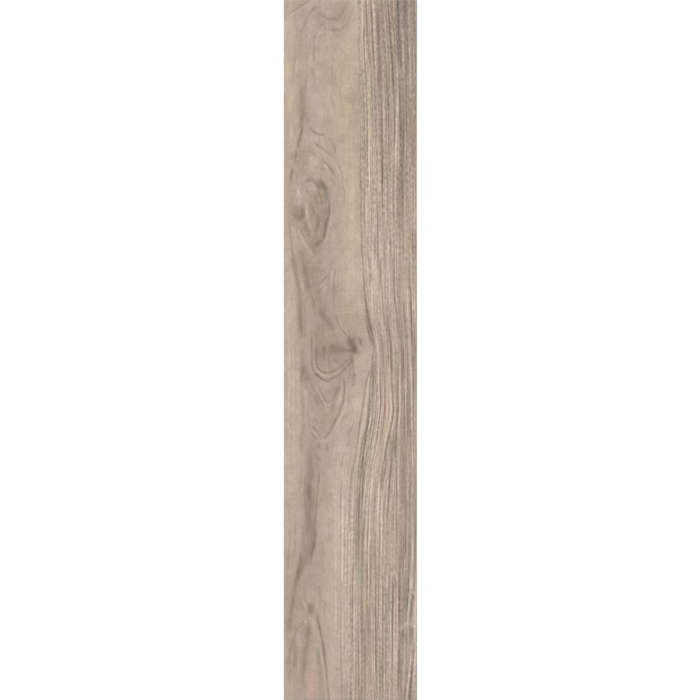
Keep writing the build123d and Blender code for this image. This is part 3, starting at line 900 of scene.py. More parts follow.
LOWER_STREAKS = (
    Stroke(-26, 1.4, ((152, 622), (147.2, 636), (140.1, 661), (136.8, 681), (133.9, 704), (130.1, 728),
        (126, 757), (123.4, 777), (120.6, 790), (117.7, 803), (115.3, 820), (114.4, 841), (113.1, 871),
        (112.3, 920)), fade=0.08),
    Stroke(-30, 1.4, ((155.5, 590), (152, 615), (149.1, 653), (146.8, 681), (144.9, 704), (142.5, 728),
        (140.6, 739), (136, 762)), fade=0.12),
    Stroke(-26, 1.3, ((155, 612), (153, 636), (153, 661), (152, 683), (151, 704), (149.6, 726),
        (146.3, 739), (142, 754)), fade=0.12),
    Stroke(-22, 1.3, ((158, 615), (157.7, 644), (157.7, 679), (155.8, 709), (153.9, 726), (151, 751),
        (147, 775)), fade=0.12),
    Stroke(16, 1.3, ((147.5, 640), (145.3, 653), (142.5, 681), (139.6, 704), (136.8, 726), (132, 747),
        (127, 776)), fade=0.14),
    Stroke(20, 1.2, ((150.5, 640), (149.6, 666), (148.7, 709), (146.3, 730), (141, 754)), Tint.GREEN),
    Stroke(24, 1.3, ((162, 625), (162.5, 649), (163, 679), (163, 709), (160.6, 728), (157.7, 745),
        (153.9, 764), (148, 796)), fade=0.14),
    Stroke(-26, 1.3, ((166, 625), (165.3, 657), (165.3, 705), (163, 726), (160.6, 743), (157.7, 764),
        (153.9, 781), (149, 804)), fade=0.12),
    Stroke(26, 1.3, ((168.5, 690), (167.2, 713), (164.4, 730), (162.5, 747), (160, 764), (156.8, 777),
        (153, 790), (148, 808)), fade=0.14),
    Stroke(-34, 1.5, ((184, 620), (185.8, 657), (187.2, 683), (187.7, 704), (185.8, 721), (183.4, 730),
        (180.9, 743), (175.8, 764), (173.9, 781), (172.6, 804)), fade=0.1),
    Stroke(24, 1.2, ((182.5, 660), (184.4, 691), (185.3, 700), (183.9, 713), (181.5, 728), (178, 756))),
    Stroke(22, 1.2, ((180, 712), (178.2, 728), (175.8, 745), (173, 764), (170, 792)), Tint.YELLOW),
    Stroke(24, 1.2, ((183, 745), (181, 760), (178.2, 777), (174.9, 790), (171.5, 810))),
    Stroke(-36, 1.5, ((184, 735), (181.5, 751), (179.1, 769), (176.3, 790), (173.9, 807), (169.5, 830))),
    Stroke(-30, 1.4, ((189, 740), (187.2, 769), (185.3, 790), (182.5, 816), (179.9, 837), (178.2, 863),
        (175, 905)), fade=0.14),
    Stroke(30, 1.4, ((191.5, 775), (190.4, 790), (188.5, 811), (187.2, 840), (184.7, 863), (182, 886))),
    Stroke(-30, 1.4, ((196.5, 610), (195.8, 644), (194.9, 687), (195.3, 709), (193.4, 730), (192.2, 760),
        (192.2, 786), (193, 820), (193.4, 854), (193.2, 930)), fade=0.08),
    Stroke(26, 1.4, ((199.5, 612), (198.7, 649), (198.7, 691), (198.2, 717), (197.7, 743), (196.5, 790),
        (196.8, 835), (195.5, 900)), fade=0.1),
    Stroke(-30, 1.7, ((193, 742), (192, 763), (191, 786)), Tint.GREEN),
    Stroke(-22, 1.7, ((183, 738), (182.4, 762), (181, 785)), Tint.GREEN),
    Stroke(22, 1.4, ((146, 775), (143.4, 794), (140.6, 824), (137.7, 859), (134, 920)), Tint.GREEN),
    Stroke(26, 1.4, ((148, 820), (146.3, 837), (143.9, 859), (141.5, 897), (140.4, 930), (139.6, 960))),
    Stroke(24, 1.3, ((153.5, 805), (152, 824), (149, 867), (147, 915))),
    Stroke(-20, 1.2, ((121, 712), (117.7, 728), (113, 743), (109.1, 760), (104.4, 773), (102, 784),
        (99, 812))),
    Stroke(15, 1.3, ((115, 740), (109.5, 752), (104.5, 772), (101, 800), (100, 840))),
    Stroke(-13, 4, ((140, 730), (136, 754), (133, 775), (131, 800), (128.5, 834)), Tint.GREEN),
    Stroke(-26, 1.7, ((137.5, 770), (136, 794), (135.2, 828), (133, 864)), Tint.GREEN),
    Stroke(-18, 2.5, ((203.5, 585), (204, 620), (203.5, 660))),
    Stroke(-17, 1.6, ((211.5, 590), (212.4, 642), (212.5, 690), (212.3, 770)), Tint.PURPLE),
    Stroke(-20, 1.4, ((221.5, 596), (222, 640), (222.5, 680))),
    Stroke(28, 1.5, ((218, 615), (218.6, 660), (219, 700), (220, 745), (220.3, 800), (219.5, 868)),
        fade=0.1),
    Stroke(14, 1.7, ((177, 640), (177.5, 690), (176, 728)), Tint.PINK),
    Stroke(0, 3.2, ((175.5, 648), (176, 690), (175.5, 722)), Tint.PINK),
    Stroke(12, 2.4, ((174.5, 714), (173.8, 730), (173, 750)), Tint.YELLOW),
    Stroke(-20, 1.2, ((160.3, 615), (160, 665), (159, 700), (156.5, 732))),
    Stroke(18, 1.2, ((170.3, 640), (171, 690), (169.5, 722), (165, 752))),
    Stroke(-20, 1.2, ((173, 630), (173.5, 690), (172, 720), (167.5, 750), (163, 780))),
    Stroke(-17, 1.4, ((215, 620), (215.5, 660), (215.8, 720), (215.6, 780))),
    Stroke(-18, 1.4, ((207, 655), (207, 710), (206, 770))),
    Stroke(20, 1.3, ((209.5, 640), (209.7, 700), (209.5, 760))),
    Stroke(-14, 4.2, ((128.5, 820), (127, 865), (125.5, 905), (125, 976))),
    Stroke(26, 1.4, ((163.8, 815), (163, 845), (161.6, 880), (160.5, 935))),
    Stroke(22, 1.3, ((168.5, 840), (167.4, 868), (166.6, 900))),
    Stroke(-28, 2, ((169.8, 800), (168.5, 818), (167, 846)), Tint.PURPLE),
    Stroke(-22, 1.3, ((166, 835), (165, 868), (164, 905), (163.6, 975))),
    Stroke(-10, 4, ((205.5, 755), (206, 820), (206, 885)), Tint.BROWN),
    Stroke(-18, 1.2, ((98.5, 812), (97.7, 838), (97.5, 880))),
    Stroke(-20, 1.2, ((158.5, 800), (156.5, 840), (155, 866), (153.5, 905))),
    Stroke(-20, 1.2, ((172.5, 840), (171, 872), (170, 902), (169.4, 985))),
    Stroke(-18, 1.4, ((189.5, 840), (188, 880), (187, 915))),
    Stroke(-18, 1.4, ((224, 780), (224.5, 830), (224.7, 900))),
    Stroke(-26, 1.4, ((209.5, 850), (209, 900), (208, 965)), Tint.PURPLE),
    Stroke(18, 1.3, ((211.5, 810), (211.7, 835), (211.5, 865))),
)
LOWEST_STREAKS = (
    Stroke(16, 1.3, ((144, 880), (141, 910), (139.5, 940), (138.6, 985), (138, 1030)), Tint.PINK),
    Stroke(24, 1.4, ((149, 870), (147.5, 905), (146, 950), (145.4, 1005), (145.4, 1050))),
    Stroke(18, 1.3, ((157, 860), (155, 905), (154, 950), (153.6, 1000))),
    Stroke(-24, 1.4, ((150, 915), (148.6, 950), (148, 990), (147.8, 1030))),
    Stroke(-20, 1.2, ((145.5, 885), (143.4, 920), (142.6, 960), (142, 1010))),
    Stroke(-22, 1.3, ((141.6, 965), (141.2, 1005), (141.2, 1060), (141.4, 1150)), Tint.BROWN),
    Stroke(-18, 1.3, ((136.5, 880), (134.8, 925), (133.6, 965))),
    Stroke(-20, 1.4, ((118.6, 950), (118, 1005), (117.8, 1050), (118, 1120))),
    Stroke(17, 1.2, ((121, 1020), (120.6, 1070), (120.8, 1160))),
    Stroke(-18, 1.4, ((134.3, 1020), (133.6, 1070), (133.4, 1120))),
    Stroke(-16, 1.4, ((129.4, 1080), (128.8, 1130), (128.5, 1180))),
    Stroke(15, 1.3, ((131.5, 1060), (131, 1110), (131, 1190))),
    Stroke(13, 3, ((154, 965), (154, 1005), (153.8, 1045)), Tint.YELLOW),
    Stroke(20, 1.4, ((150.6, 1030), (150.2, 1090), (150, 1150))),
    Stroke(-17, 1.3, ((147.6, 1040), (147.6, 1100), (147.8, 1180))),
    Stroke(14, 1.6, ((152.6, 1110), (152.4, 1165), (152.4, 1210)), Tint.PINK),
    Stroke(0, 3, ((152.6, 1124), (152.6, 1165), (152.6, 1200)), Tint.PINK),
    Stroke(16, 1.4, ((145.4, 1100), (145.7, 1160), (146, 1220)), Tint.PINK),
    Stroke(-22, 1.4, ((156.5, 900), (155.2, 950), (154.6, 1000))),
    Stroke(-22, 1.3, ((157.6, 1020), (157.2, 1080), (157.6, 1160))),
    Stroke(17, 1.2, ((155.4, 1040), (155.2, 1100), (155.4, 1180))),
    Stroke(-22, 1.4, ((164.6, 890), (163.6, 940), (162.6, 1000), (162, 1050), (162, 1110)), fade=0.12),
    Stroke(20, 1.3, ((162.6, 890), (161.2, 930), (160.4, 980), (159.8, 1040), (160, 1100))),
    Stroke(18, 1.2, ((168.6, 880), (167, 930), (166, 970))),
    Stroke(-20, 1.4, ((169.6, 1090), (169.4, 1150), (169.6, 1210))),
    Stroke(22, 1.4, ((172, 930), (170.8, 960), (170, 996))),
    Stroke(24, 1.7, ((179.4, 962), (178, 987), (176, 1012))),
    Stroke(22, 1.4, ((168.6, 985), (167.4, 1014), (166.8, 1060), (166.8, 1140))),
    Stroke(20, 1.2, ((173.8, 1010), (172.6, 1055), (172.2, 1120))),
    Stroke(-18, 1.2, ((170.6, 1000), (169.8, 1045), (169.6, 1090))),
    Stroke(-18, 1.2, ((176.4, 1010), (175.2, 1060), (175, 1130), (175, 1210))),
    Stroke(18, 1.2, ((179.6, 1030), (178, 1090), (177.6, 1180))),
    Stroke(-20, 1.2, ((182, 890), (181, 940), (180.8, 990), (180.6, 1050), (180.4, 1120))),
    Stroke(20, 1.3, ((185.6, 960), (184.6, 1010), (183.6, 1060), (183, 1140))),
    Stroke(-20, 1.3, ((188, 980), (187, 1030), (186, 1090), (185.6, 1200))),
    Stroke(18, 1.2, ((190.4, 985), (190, 1030), (189, 1080), (188.6, 1160))),
    Stroke(-20, 1.3, ((192.4, 900), (191.6, 950), (191.4, 1000), (192, 1060), (191.6, 1130))),
    Stroke(24, 1.5, ((189, 978), (192, 985), (194.5, 996))),
    Stroke(-12, 1.6, ((198.6, 930), (197.6, 980), (197, 1020), (196, 1070))),
    Stroke(17, 1.3, ((195, 1010), (194, 1060), (193.6, 1110), (193.2, 1160))),
    Stroke(-24, 1.6, ((197.4, 1100), (196.4, 1142), (196, 1190))),
    Stroke(-22, 1.7, ((209.4, 975), (208.4, 1018), (206, 1052)), Tint.BLUE),
    Stroke(30, 1.7, ((219, 975), (217.6, 1000), (215.8, 1022), (213.4, 1045), (211.4, 1064),
        (210.8, 1092))),
    Stroke(-22, 1.5, ((214.8, 985), (213.4, 1015), (210.6, 1040), (208.6, 1062))),
    Stroke(32, 2, ((223, 985), (219.8, 1000), (221, 1012), (224.6, 1020))),
    Stroke(-24, 1.5, ((222.6, 1012), (219.6, 1030), (217, 1050), (215, 1066))),
    Stroke(20, 1.5, ((225, 1034), (221.4, 1050), (218.8, 1066))),
    Stroke(30, 2.6, ((195, 1076), (201, 1076), (206, 1071), (214, 1070))),
    Stroke(-22, 1.7, ((216, 1070), (216.4, 1088), (215, 1112))),
    Stroke(20, 2.4, ((219.4, 1060), (219.6, 1068), (220, 1076)), Tint.GREEN),
    Stroke(26, 1.6, ((221, 1092), (219, 1114), (216.6, 1140), (213, 1170), (208.6, 1214))),
    Stroke(-26, 1.6, ((224.4, 1092), (222.4, 1125), (219.6, 1157), (215.6, 1187), (211.6, 1216))),
    Stroke(22, 1.6, ((226.4, 1104), (224.4, 1140), (221, 1172), (217, 1212)), Tint.PINK),
    Stroke(-20, 1.6, ((217, 1096), (214, 1135), (209.4, 1175), (204.4, 1216))),
    Stroke(-22, 1.6, ((226.4, 1150), (223.4, 1180), (220, 1214))),
    Stroke(-18, 1.3, ((159.4, 1080), (159, 1130), (159, 1205))),
    Stroke(-18, 1.3, ((164.6, 1080), (164.4, 1150), (164.6, 1215))),
    Stroke(-18, 1.3, ((202, 890), (202, 940), (202, 985)), Tint.PINK),
    Stroke(20, 1.3, ((208.4, 940), (207, 970), (205.4, 1000))),
    Stroke(-20, 1.4, ((225, 885), (225, 940), (225, 990))),
    Stroke(22, 1.4, ((220.6, 910), (220.2, 950), (219.6, 990))),
    Stroke(16, 1.3, ((204, 1100), (205.6, 1140), (204, 1190))),
    Stroke(-17, 1.7, ((201.6, 1120), (201, 1165), (200, 1215))),
)


@dataclass(frozen=True)
class Drawn:
    """The print worked out at every vertex of the face."""

    colour: Array  # linear light
    fibre: Array  # strength of the fibres
    sand: Array  # strength of the sand
    grain: Array  # mm across the straightened grain
    depth: Array  # mm of relief below the face


@dataclass(frozen=True)
class GrainPrint:
    """The wood-grain print: its mean colour, the figure drawn on it and how the fibres run."""

    guides: tuple[Guide, ...] = GUIDES
    broad_tones: tuple[Patch, ...] = BROAD_TONES
    patches: tuple[Patch, ...] = (
        UPPER_PATCHES + FIRST_KNOT_PATCHES + MIDDLE_PATCHES + SECOND_KNOT_PATCHES + LOWER_PATCHES
    )
    figure: tuple[Stroke, ...] = UPPER_FIGURE + FIRST_KNOT + MIDDLE_FIGURE + SECOND_KNOT + LOWER_FIGURE
    streaks: tuple[Stroke, ...] = UPPER_STREAKS + MIDDLE_STREAKS + LOWER_STREAKS + LOWEST_STREAKS
    mean: tuple[float, float, float] = (178.0, 159.6, 142.2)  # red, green and blue in steps
    cast: float = 1.15  # strength of the tints
    wander: float = 0.7  # mm by which the figure's lines stray from their drawn course
    streak_wander: float = 0.28  # and the streaks' lines
    fine_stray: float = 0.6  # share of fine straying in it
    figure_firm: float = 1.12  # how firmly the figure prints
    firm_change: float = 0.3  # and how much that changes from place to place
    firm_places: tuple[float, ...] = (0.0, 360.0, 440.0, 600.0, 660.0, 960.0, 1040.0, 1200.0)  # mm along
    streak_firm: tuple[float, ...] = (1.0, 1.0, 1.25, 1.25, 1.1, 1.1, 1.1, 1.1)  # how firm streaks are there
    sand: tuple[float, ...] = (1.05, 1.05, 0.8, 0.65, 0.6, 0.65, 0.85, 0.9)  # and how sandy
    calm_edge: float = 124.0  # mm across the grain at which the streaky part begins
    calm_blend: float = 10.0  # mm over which it comes in
    widening: float = 8.0  # mm by which it widens towards the foot of the tile
    widens_from: float = 700.0  # mm along at which that begins
    widens_over: float = 160.0  # mm along over which it happens
    left_fibre: float = 0.12  # share of the full fibre strength on the calm left part
    lower_fibre: float = 0.2  # and added to it towards the foot of the tile
    fibre_from: float = 58.0  # mm across at which that begins
    fibre_over: float = 30.0  # mm across over which it comes in
    drift: float = 2.2  # steps of slow change in tone
    mottle: float = 3.0  # steps of tone in the fine blotches
    streaky_loss: float = 0.5  # share of the blotches that the streaky part is without
    relief: float = 0.14  # mm from the face down to its deepest grain line
    level_depth: float = 0.35  # share of the way down, before easing, at the mean tone
    deep_tone: float = 34.0  # steps below the mean at which the grain is deepest
    seed: int = 11

    def noise(self, kind: Unevenness, sheet: Sheet, grain: Array) -> Array:
        """Seeded noise of one kind along the grain."""
        draw, cell = kind.value
        return cloud(grain, sheet.along, cell, self.seed + draw)

    def straightened(self, sheet: Sheet) -> Array:
        """Place of each vertex in the straightened grain: a share of the way from each guide to the next.

        Args:
            sheet: Places of the face's vertices.

        Returns:
            Places across the grain, in mm.
        """
        lines = [guide.across(sheet.along) for guide in self.guides]
        grain = np.full(sheet.across.shape, float(self.guides[0].grain))
        for first, second, near, far in zip(self.guides[:-1], self.guides[1:], lines[:-1], lines[1:]):
            grain += (second.grain - first.grain) * np.clip((sheet.across - near) / (far - near), 0.0, 1.0)
        return grain

    def disturbed(self, sheet: Sheet, grain: Array, wander: float) -> Sheet:
        """The sheet with its places moved a little across by noise, so that drawn lines come out uneven.

        Args:
            sheet: Places of the face's vertices.
            grain: Their places in the straightened grain.
            wander: Usual distance moved, in mm.

        Returns:
            The moved sheet.
        """
        stray = self.noise(Unevenness.STRAY, sheet, grain)
        stray += self.fine_stray * self.noise(Unevenness.FINE_STRAY, sheet, grain)
        return Sheet(sheet.columns, sheet.rows, sheet.across + wander * stray, sheet.along)

    def lay_all(self, sheet: Sheet, grain: Array) -> tuple[Array, Array]:
        """Lays every patch, then every line of the figure, then every streak.

        Args:
            sheet: Places of the face's vertices.
            grain: Their places in the straightened grain.

        Returns:
            Tone of the print, and its cast as red, green and blue.
        """
        tone = np.zeros(sheet.across.shape)
        cast = np.zeros(sheet.across.shape + (3,))
        for patch in self.broad_tones:
            patch.lay(sheet, tone, cast)
        uneven = self.disturbed(sheet, grain, self.wander)
        for patch in self.patches:
            patch.lay(uneven, tone, cast)
        firm = 1.0 + self.firm_change * self.noise(Unevenness.FIRMNESS, sheet, grain)
        for stroke in self.figure:
            stroke.lay(uneven, tone, cast, self.figure_firm * firm)
        straighter = self.disturbed(sheet, grain, self.streak_wander)
        streak_firm = firm * np.interp(sheet.along, self.firm_places, self.streak_firm)
        for stroke in self.streaks:
            stroke.lay(straighter, tone, cast, streak_firm)
        return tone, cast

    def draw(self, sheet: Sheet) -> Drawn:
        """Works the print out over the whole face: what is laid, slow changes of tone and fine blotches.

        Args:
            sheet: Places of the face's vertices.

        Returns:
            The print, with deeper relief where it is darker and stronger fibres on its streaky part.
        """
        grain = self.straightened(sheet)
        tone, cast = self.lay_all(sheet, grain)
        lower = ease((sheet.along - self.widens_from) / self.widens_over)
        streaky = ease((grain - self.calm_edge + self.widening * lower) / self.calm_blend)
        inward = ease((sheet.across - self.fibre_from) / self.fibre_over)
        calm = self.left_fibre + self.lower_fibre * lower * inward
        fibre = calm + (1.0 - calm) * streaky
        sand = fibre * np.interp(sheet.along, self.firm_places, self.sand)
        tone += self.drift * self.noise(Unevenness.DRIFT, sheet, grain)
        blotch = self.noise(Unevenness.BLOTCH, sheet, grain)
        blotch += self.noise(Unevenness.FINE_BLOTCH, sheet, grain)
        tone += self.mottle * (1.0 - self.streaky_loss * streaky) * blotch
        shade = (np.array(self.mean) + tone[..., None] + self.cast * cast) / STEPS
        depth = self.relief * ease(self.level_depth - (1.0 - self.level_depth) * tone / self.deep_tone)
        return Drawn(to_linear(shade), fibre, sand, grain, depth)


class Nodes:
    """A node tree, with short calls to add and join nodes."""

    def __init__(self, tree: bpy.types.NodeTree) -> None:
        """Works on that tree."""
        self.tree = tree

    def node(self, kind: str, **settings: object) -> bpy.types.Node:
        """Adds a node.

        Args:
            kind: Type of the node.
            settings: The node's own settings, by name.

        Returns:
            The node.
        """
        made = self.tree.nodes.new(kind)
        for name, value in settings.items():
            setattr(made, name, value)
        return made

    def join(self, source: Socket, target: Socket) -> None:
        """Joins an output to an input."""
        self.tree.links.new(source, target)

    def maths(self, operation: str, first: Socket | float, second: Socket | float) -> Socket:
        """Adds a maths node on two inputs, each an output to join or a number.

        Args:
            operation: Name of the operation.
            first: First input.
            second: Second input.

        Returns:
            The node's output.
        """
        made = self.node("ShaderNodeMath", operation=operation)
        for socket, value in zip(made.inputs, (first, second)):
            if isinstance(value, Socket):
                self.join(value, socket)
            else:
                socket.default_value = value
        return made.outputs[0]

    def times(self, value: Socket, by: Socket | float) -> Socket:
        """One value times another."""
        return self.maths("MULTIPLY", value, by)

    def total(self, first: Socket, *others: Socket | float) -> Socket:
        """Sum of some values.

        Args:
            first: First value.
            others: Values to add to it, in this order.

        Returns:
            Output of the sum.
        """
        added = first
        for value in others:
            added = self.maths("ADD", added, value)
        return added


class Finish(Nodes):
    """A material's node tree, with calls for the noise in a finish and for its surface."""

    def __init__(self, name: str) -> None:
        """Makes an empty material.

        Args:
            name: Name of the material.
        """
        self.material = bpy.data.materials.new(name)
        self.material.use_nodes = True
        super().__init__(self.material.node_tree)
        self.tree.nodes.clear()

    def noise(self, place: Socket, cell: Cell, detail: float) -> Socket:
        """Adds noise that is stretched by a cell's size, less its middle value.

        Args:
            place: Places to read the noise at.
            cell: Size of a cell of the noise along each axis, in the places' own units.
            detail: Number of finer layers.

        Returns:
            An output about 0.15 either way of nothing.
        """
        mapping = self.node("ShaderNodeMapping")
        mapping.inputs["Scale"].default_value = tuple(1.0 / size for size in cell)
        self.join(place, mapping.inputs["Vector"])
        made = self.node("ShaderNodeTexNoise", noise_dimensions="3D")
        made.inputs["Scale"].default_value = 1.0
        made.inputs["Detail"].default_value = detail
        self.join(mapping.outputs["Vector"], made.inputs["Vector"])
        return self.maths("SUBTRACT", made.outputs["Fac"], MIDDLE)

    def threads(self, place: Socket, cell: Cell, width: float) -> Socket:
        """Adds thin threads along the grain, where stretched noise passes through its middle value.

        Args:
            place: Places to read the noise at.
            cell: Size of a cell of the noise, about the distance from thread to thread.
            width: Height of noise either side of the middle that a thread takes up.

        Returns:
            An output of 1 in the middle of a thread and nothing off it.
        """
        away = self.maths("ABSOLUTE", self.noise(place, cell, PLAIN), 0.0)
        return self.maths("MAXIMUM", self.maths("SUBTRACT", 1.0, self.maths("DIVIDE", away, width)), 0.0)

    def surface(self, colour: Socket, rough: Socket, height: Socket, depth: float, specular: float) -> None:
        """Ends the tree in one surface with colour, roughness and bump from nodes.

        Args:
            colour: Colour of the surface.
            rough: Roughness of the surface.
            height: Height of the fine relief, from nothing to 1.
            depth: Depth of that relief, in metres.
            specular: Specular level, set on the surface's own socket.
        """
        bump = self.node("ShaderNodeBump")
        bump.inputs["Strength"].default_value = 1.0
        bump.inputs["Distance"].default_value = depth
        self.join(height, bump.inputs["Height"])
        made = self.node("ShaderNodeBsdfPrincipled")
        made.inputs["Specular IOR Level"].default_value = specular
        self.join(colour, made.inputs["Base Color"])
        self.join(rough, made.inputs["Roughness"])
        self.join(bump.outputs["Normal"], made.inputs["Normal"])
        self.end(made.outputs["BSDF"])

    def end(self, shader: Socket) -> None:
        """Joins a shader to the material's output."""
        self.join(shader, self.node("ShaderNodeOutputMaterial").inputs["Surface"])


@dataclass(frozen=True)
class PrintedGlaze:
    """Matt glaze over the print, with streaks, threads, fibres, pores, specks and grit along the grain.

    Cells are in mm across and along the grain, and strengths are shares of the print's own lightness.
    """

    streak_cell: Cell = (2.6, 420.0, 1.0)
    fibre_cell: Cell = (1.8, 110.0, 1.0)
    pore_cell: Cell = (1.9, 3.4, 1.0)
    speck_cell: Cell = (4.4, 7.5, 1.0)
    grit_cell: Cell = (2.5, 7.0, 1.0)
    dark_cell: Cell = (5.2, 600.0, 1.0)
    pale_cell: Cell = (5.6, 520.0, 3.1)
    thread: float = 0.05  # height of noise that a thread takes up on either side
    streak: float = 1.1
    fibre: float = 0.65
    pore: float = 0.45
    speck: float = 0.16
    grit: float = 1.0
    dark: float = -0.24
    pale: float = 0.2
    rough: float = 0.56
    rough_change: float = 0.35
    bump: float = 0.00005  # metres
    specular: float = 0.35

    def material(self) -> bpy.types.Material:
        """Builds the glaze: the print's colour times one plus all that runs along the grain.

        Returns:
            The material.
        """
        finish = Finish("printed_glaze")
        drawn = finish.node("ShaderNodeAttribute", attribute_name=PRINT_COLOUR)
        place = finish.node("ShaderNodeAttribute", attribute_name=GRAIN_PLACE).outputs["Vector"]
        sand = finish.node("ShaderNodeAttribute", attribute_name=SAND_SHARE).outputs["Fac"]
        fibre = finish.noise(place, self.fibre_cell, FINE)
        lines = finish.total(
            finish.times(finish.noise(place, self.streak_cell, SOFT), self.streak),
            finish.times(fibre, self.fibre),
            finish.times(finish.threads(place, self.dark_cell, self.thread), self.dark),
            finish.times(finish.threads(place, self.pale_cell, self.thread), self.pale),
        )
        change = finish.total(
            finish.times(lines, drawn.outputs["Alpha"]),
            finish.times(finish.times(finish.noise(place, self.grit_cell, SOFT), sand), self.grit),
            finish.times(finish.noise(place, self.pore_cell, SOFT), self.pore),
            finish.times(finish.noise(place, self.speck_cell, FINE), self.speck),
        )
        colour = finish.node("ShaderNodeVectorMath", operation="SCALE")
        finish.join(drawn.outputs["Color"], colour.inputs[0])
        finish.join(finish.total(change, 1.0), colour.inputs["Scale"])
        rough = finish.total(finish.times(fibre, self.rough_change), self.rough)
        height = finish.total(change, MIDDLE)
        finish.surface(colour.outputs["Vector"], rough, height, self.bump, self.specular)
        return finish.material


@dataclass(frozen=True)
class FiredBody:
    """Unglazed porcelain of the ground edges and the back, with speckle and grinding lines.

    Cells are in metres.
    """

    pale: Colour = (0.56, 0.49, 0.42, 1.0)
    deep: Colour = (0.40, 0.34, 0.28, 1.0)
    speckle_cell: Cell = (0.0011, 0.0011, 0.0011)
    cloud_cell: Cell = (0.035, 0.035, 0.035)
    grind_cell: Cell = (0.02, 0.02, 0.0004)
    speckle: float = 1.6
    clouding: float = 0.7
    grinding: float = 0.5
    rough: float = 0.82
    rough_change: float = 0.3
    bump: float = 0.00006  # metres
    specular: float = 0.25

    def material(self) -> bpy.types.Material:
        """Builds the body: a mix of two clay colours by speckle, clouds and grinding lines.

        Returns:
            The material.
        """
        finish = Finish("fired_body")
        place = finish.node("ShaderNodeTexCoord").outputs["Object"]
        speckle = finish.noise(place, self.speckle_cell, FINE)
        share = finish.total(
            finish.times(speckle, self.speckle),
            finish.times(finish.noise(place, self.cloud_cell, FINE), self.clouding),
            finish.times(finish.noise(place, self.grind_cell, FINE), self.grinding),
            MIDDLE,
        )
        ramp = finish.node("ShaderNodeValToRGB")
        for element, colour in zip(ramp.color_ramp.elements, (self.deep, self.pale)):
            element.color = colour
        finish.join(share, ramp.inputs["Fac"])
        rough = finish.total(finish.times(speckle, self.rough_change), self.rough)
        finish.surface(ramp.outputs["Color"], rough, share, self.bump, self.specular)
        return finish.material


@dataclass(frozen=True)
class Skin:
    """The tile's closed surface as arrays, ready for a mesh."""

    places: Array  # vertices across, along and up, in mm
    corners: Array  # vertex number of each corner, face by face
    totals: Array  # number of corners of each face
    parts: Array  # part that each face belongs to
    smooth: Array  # whether each face is shaded smooth


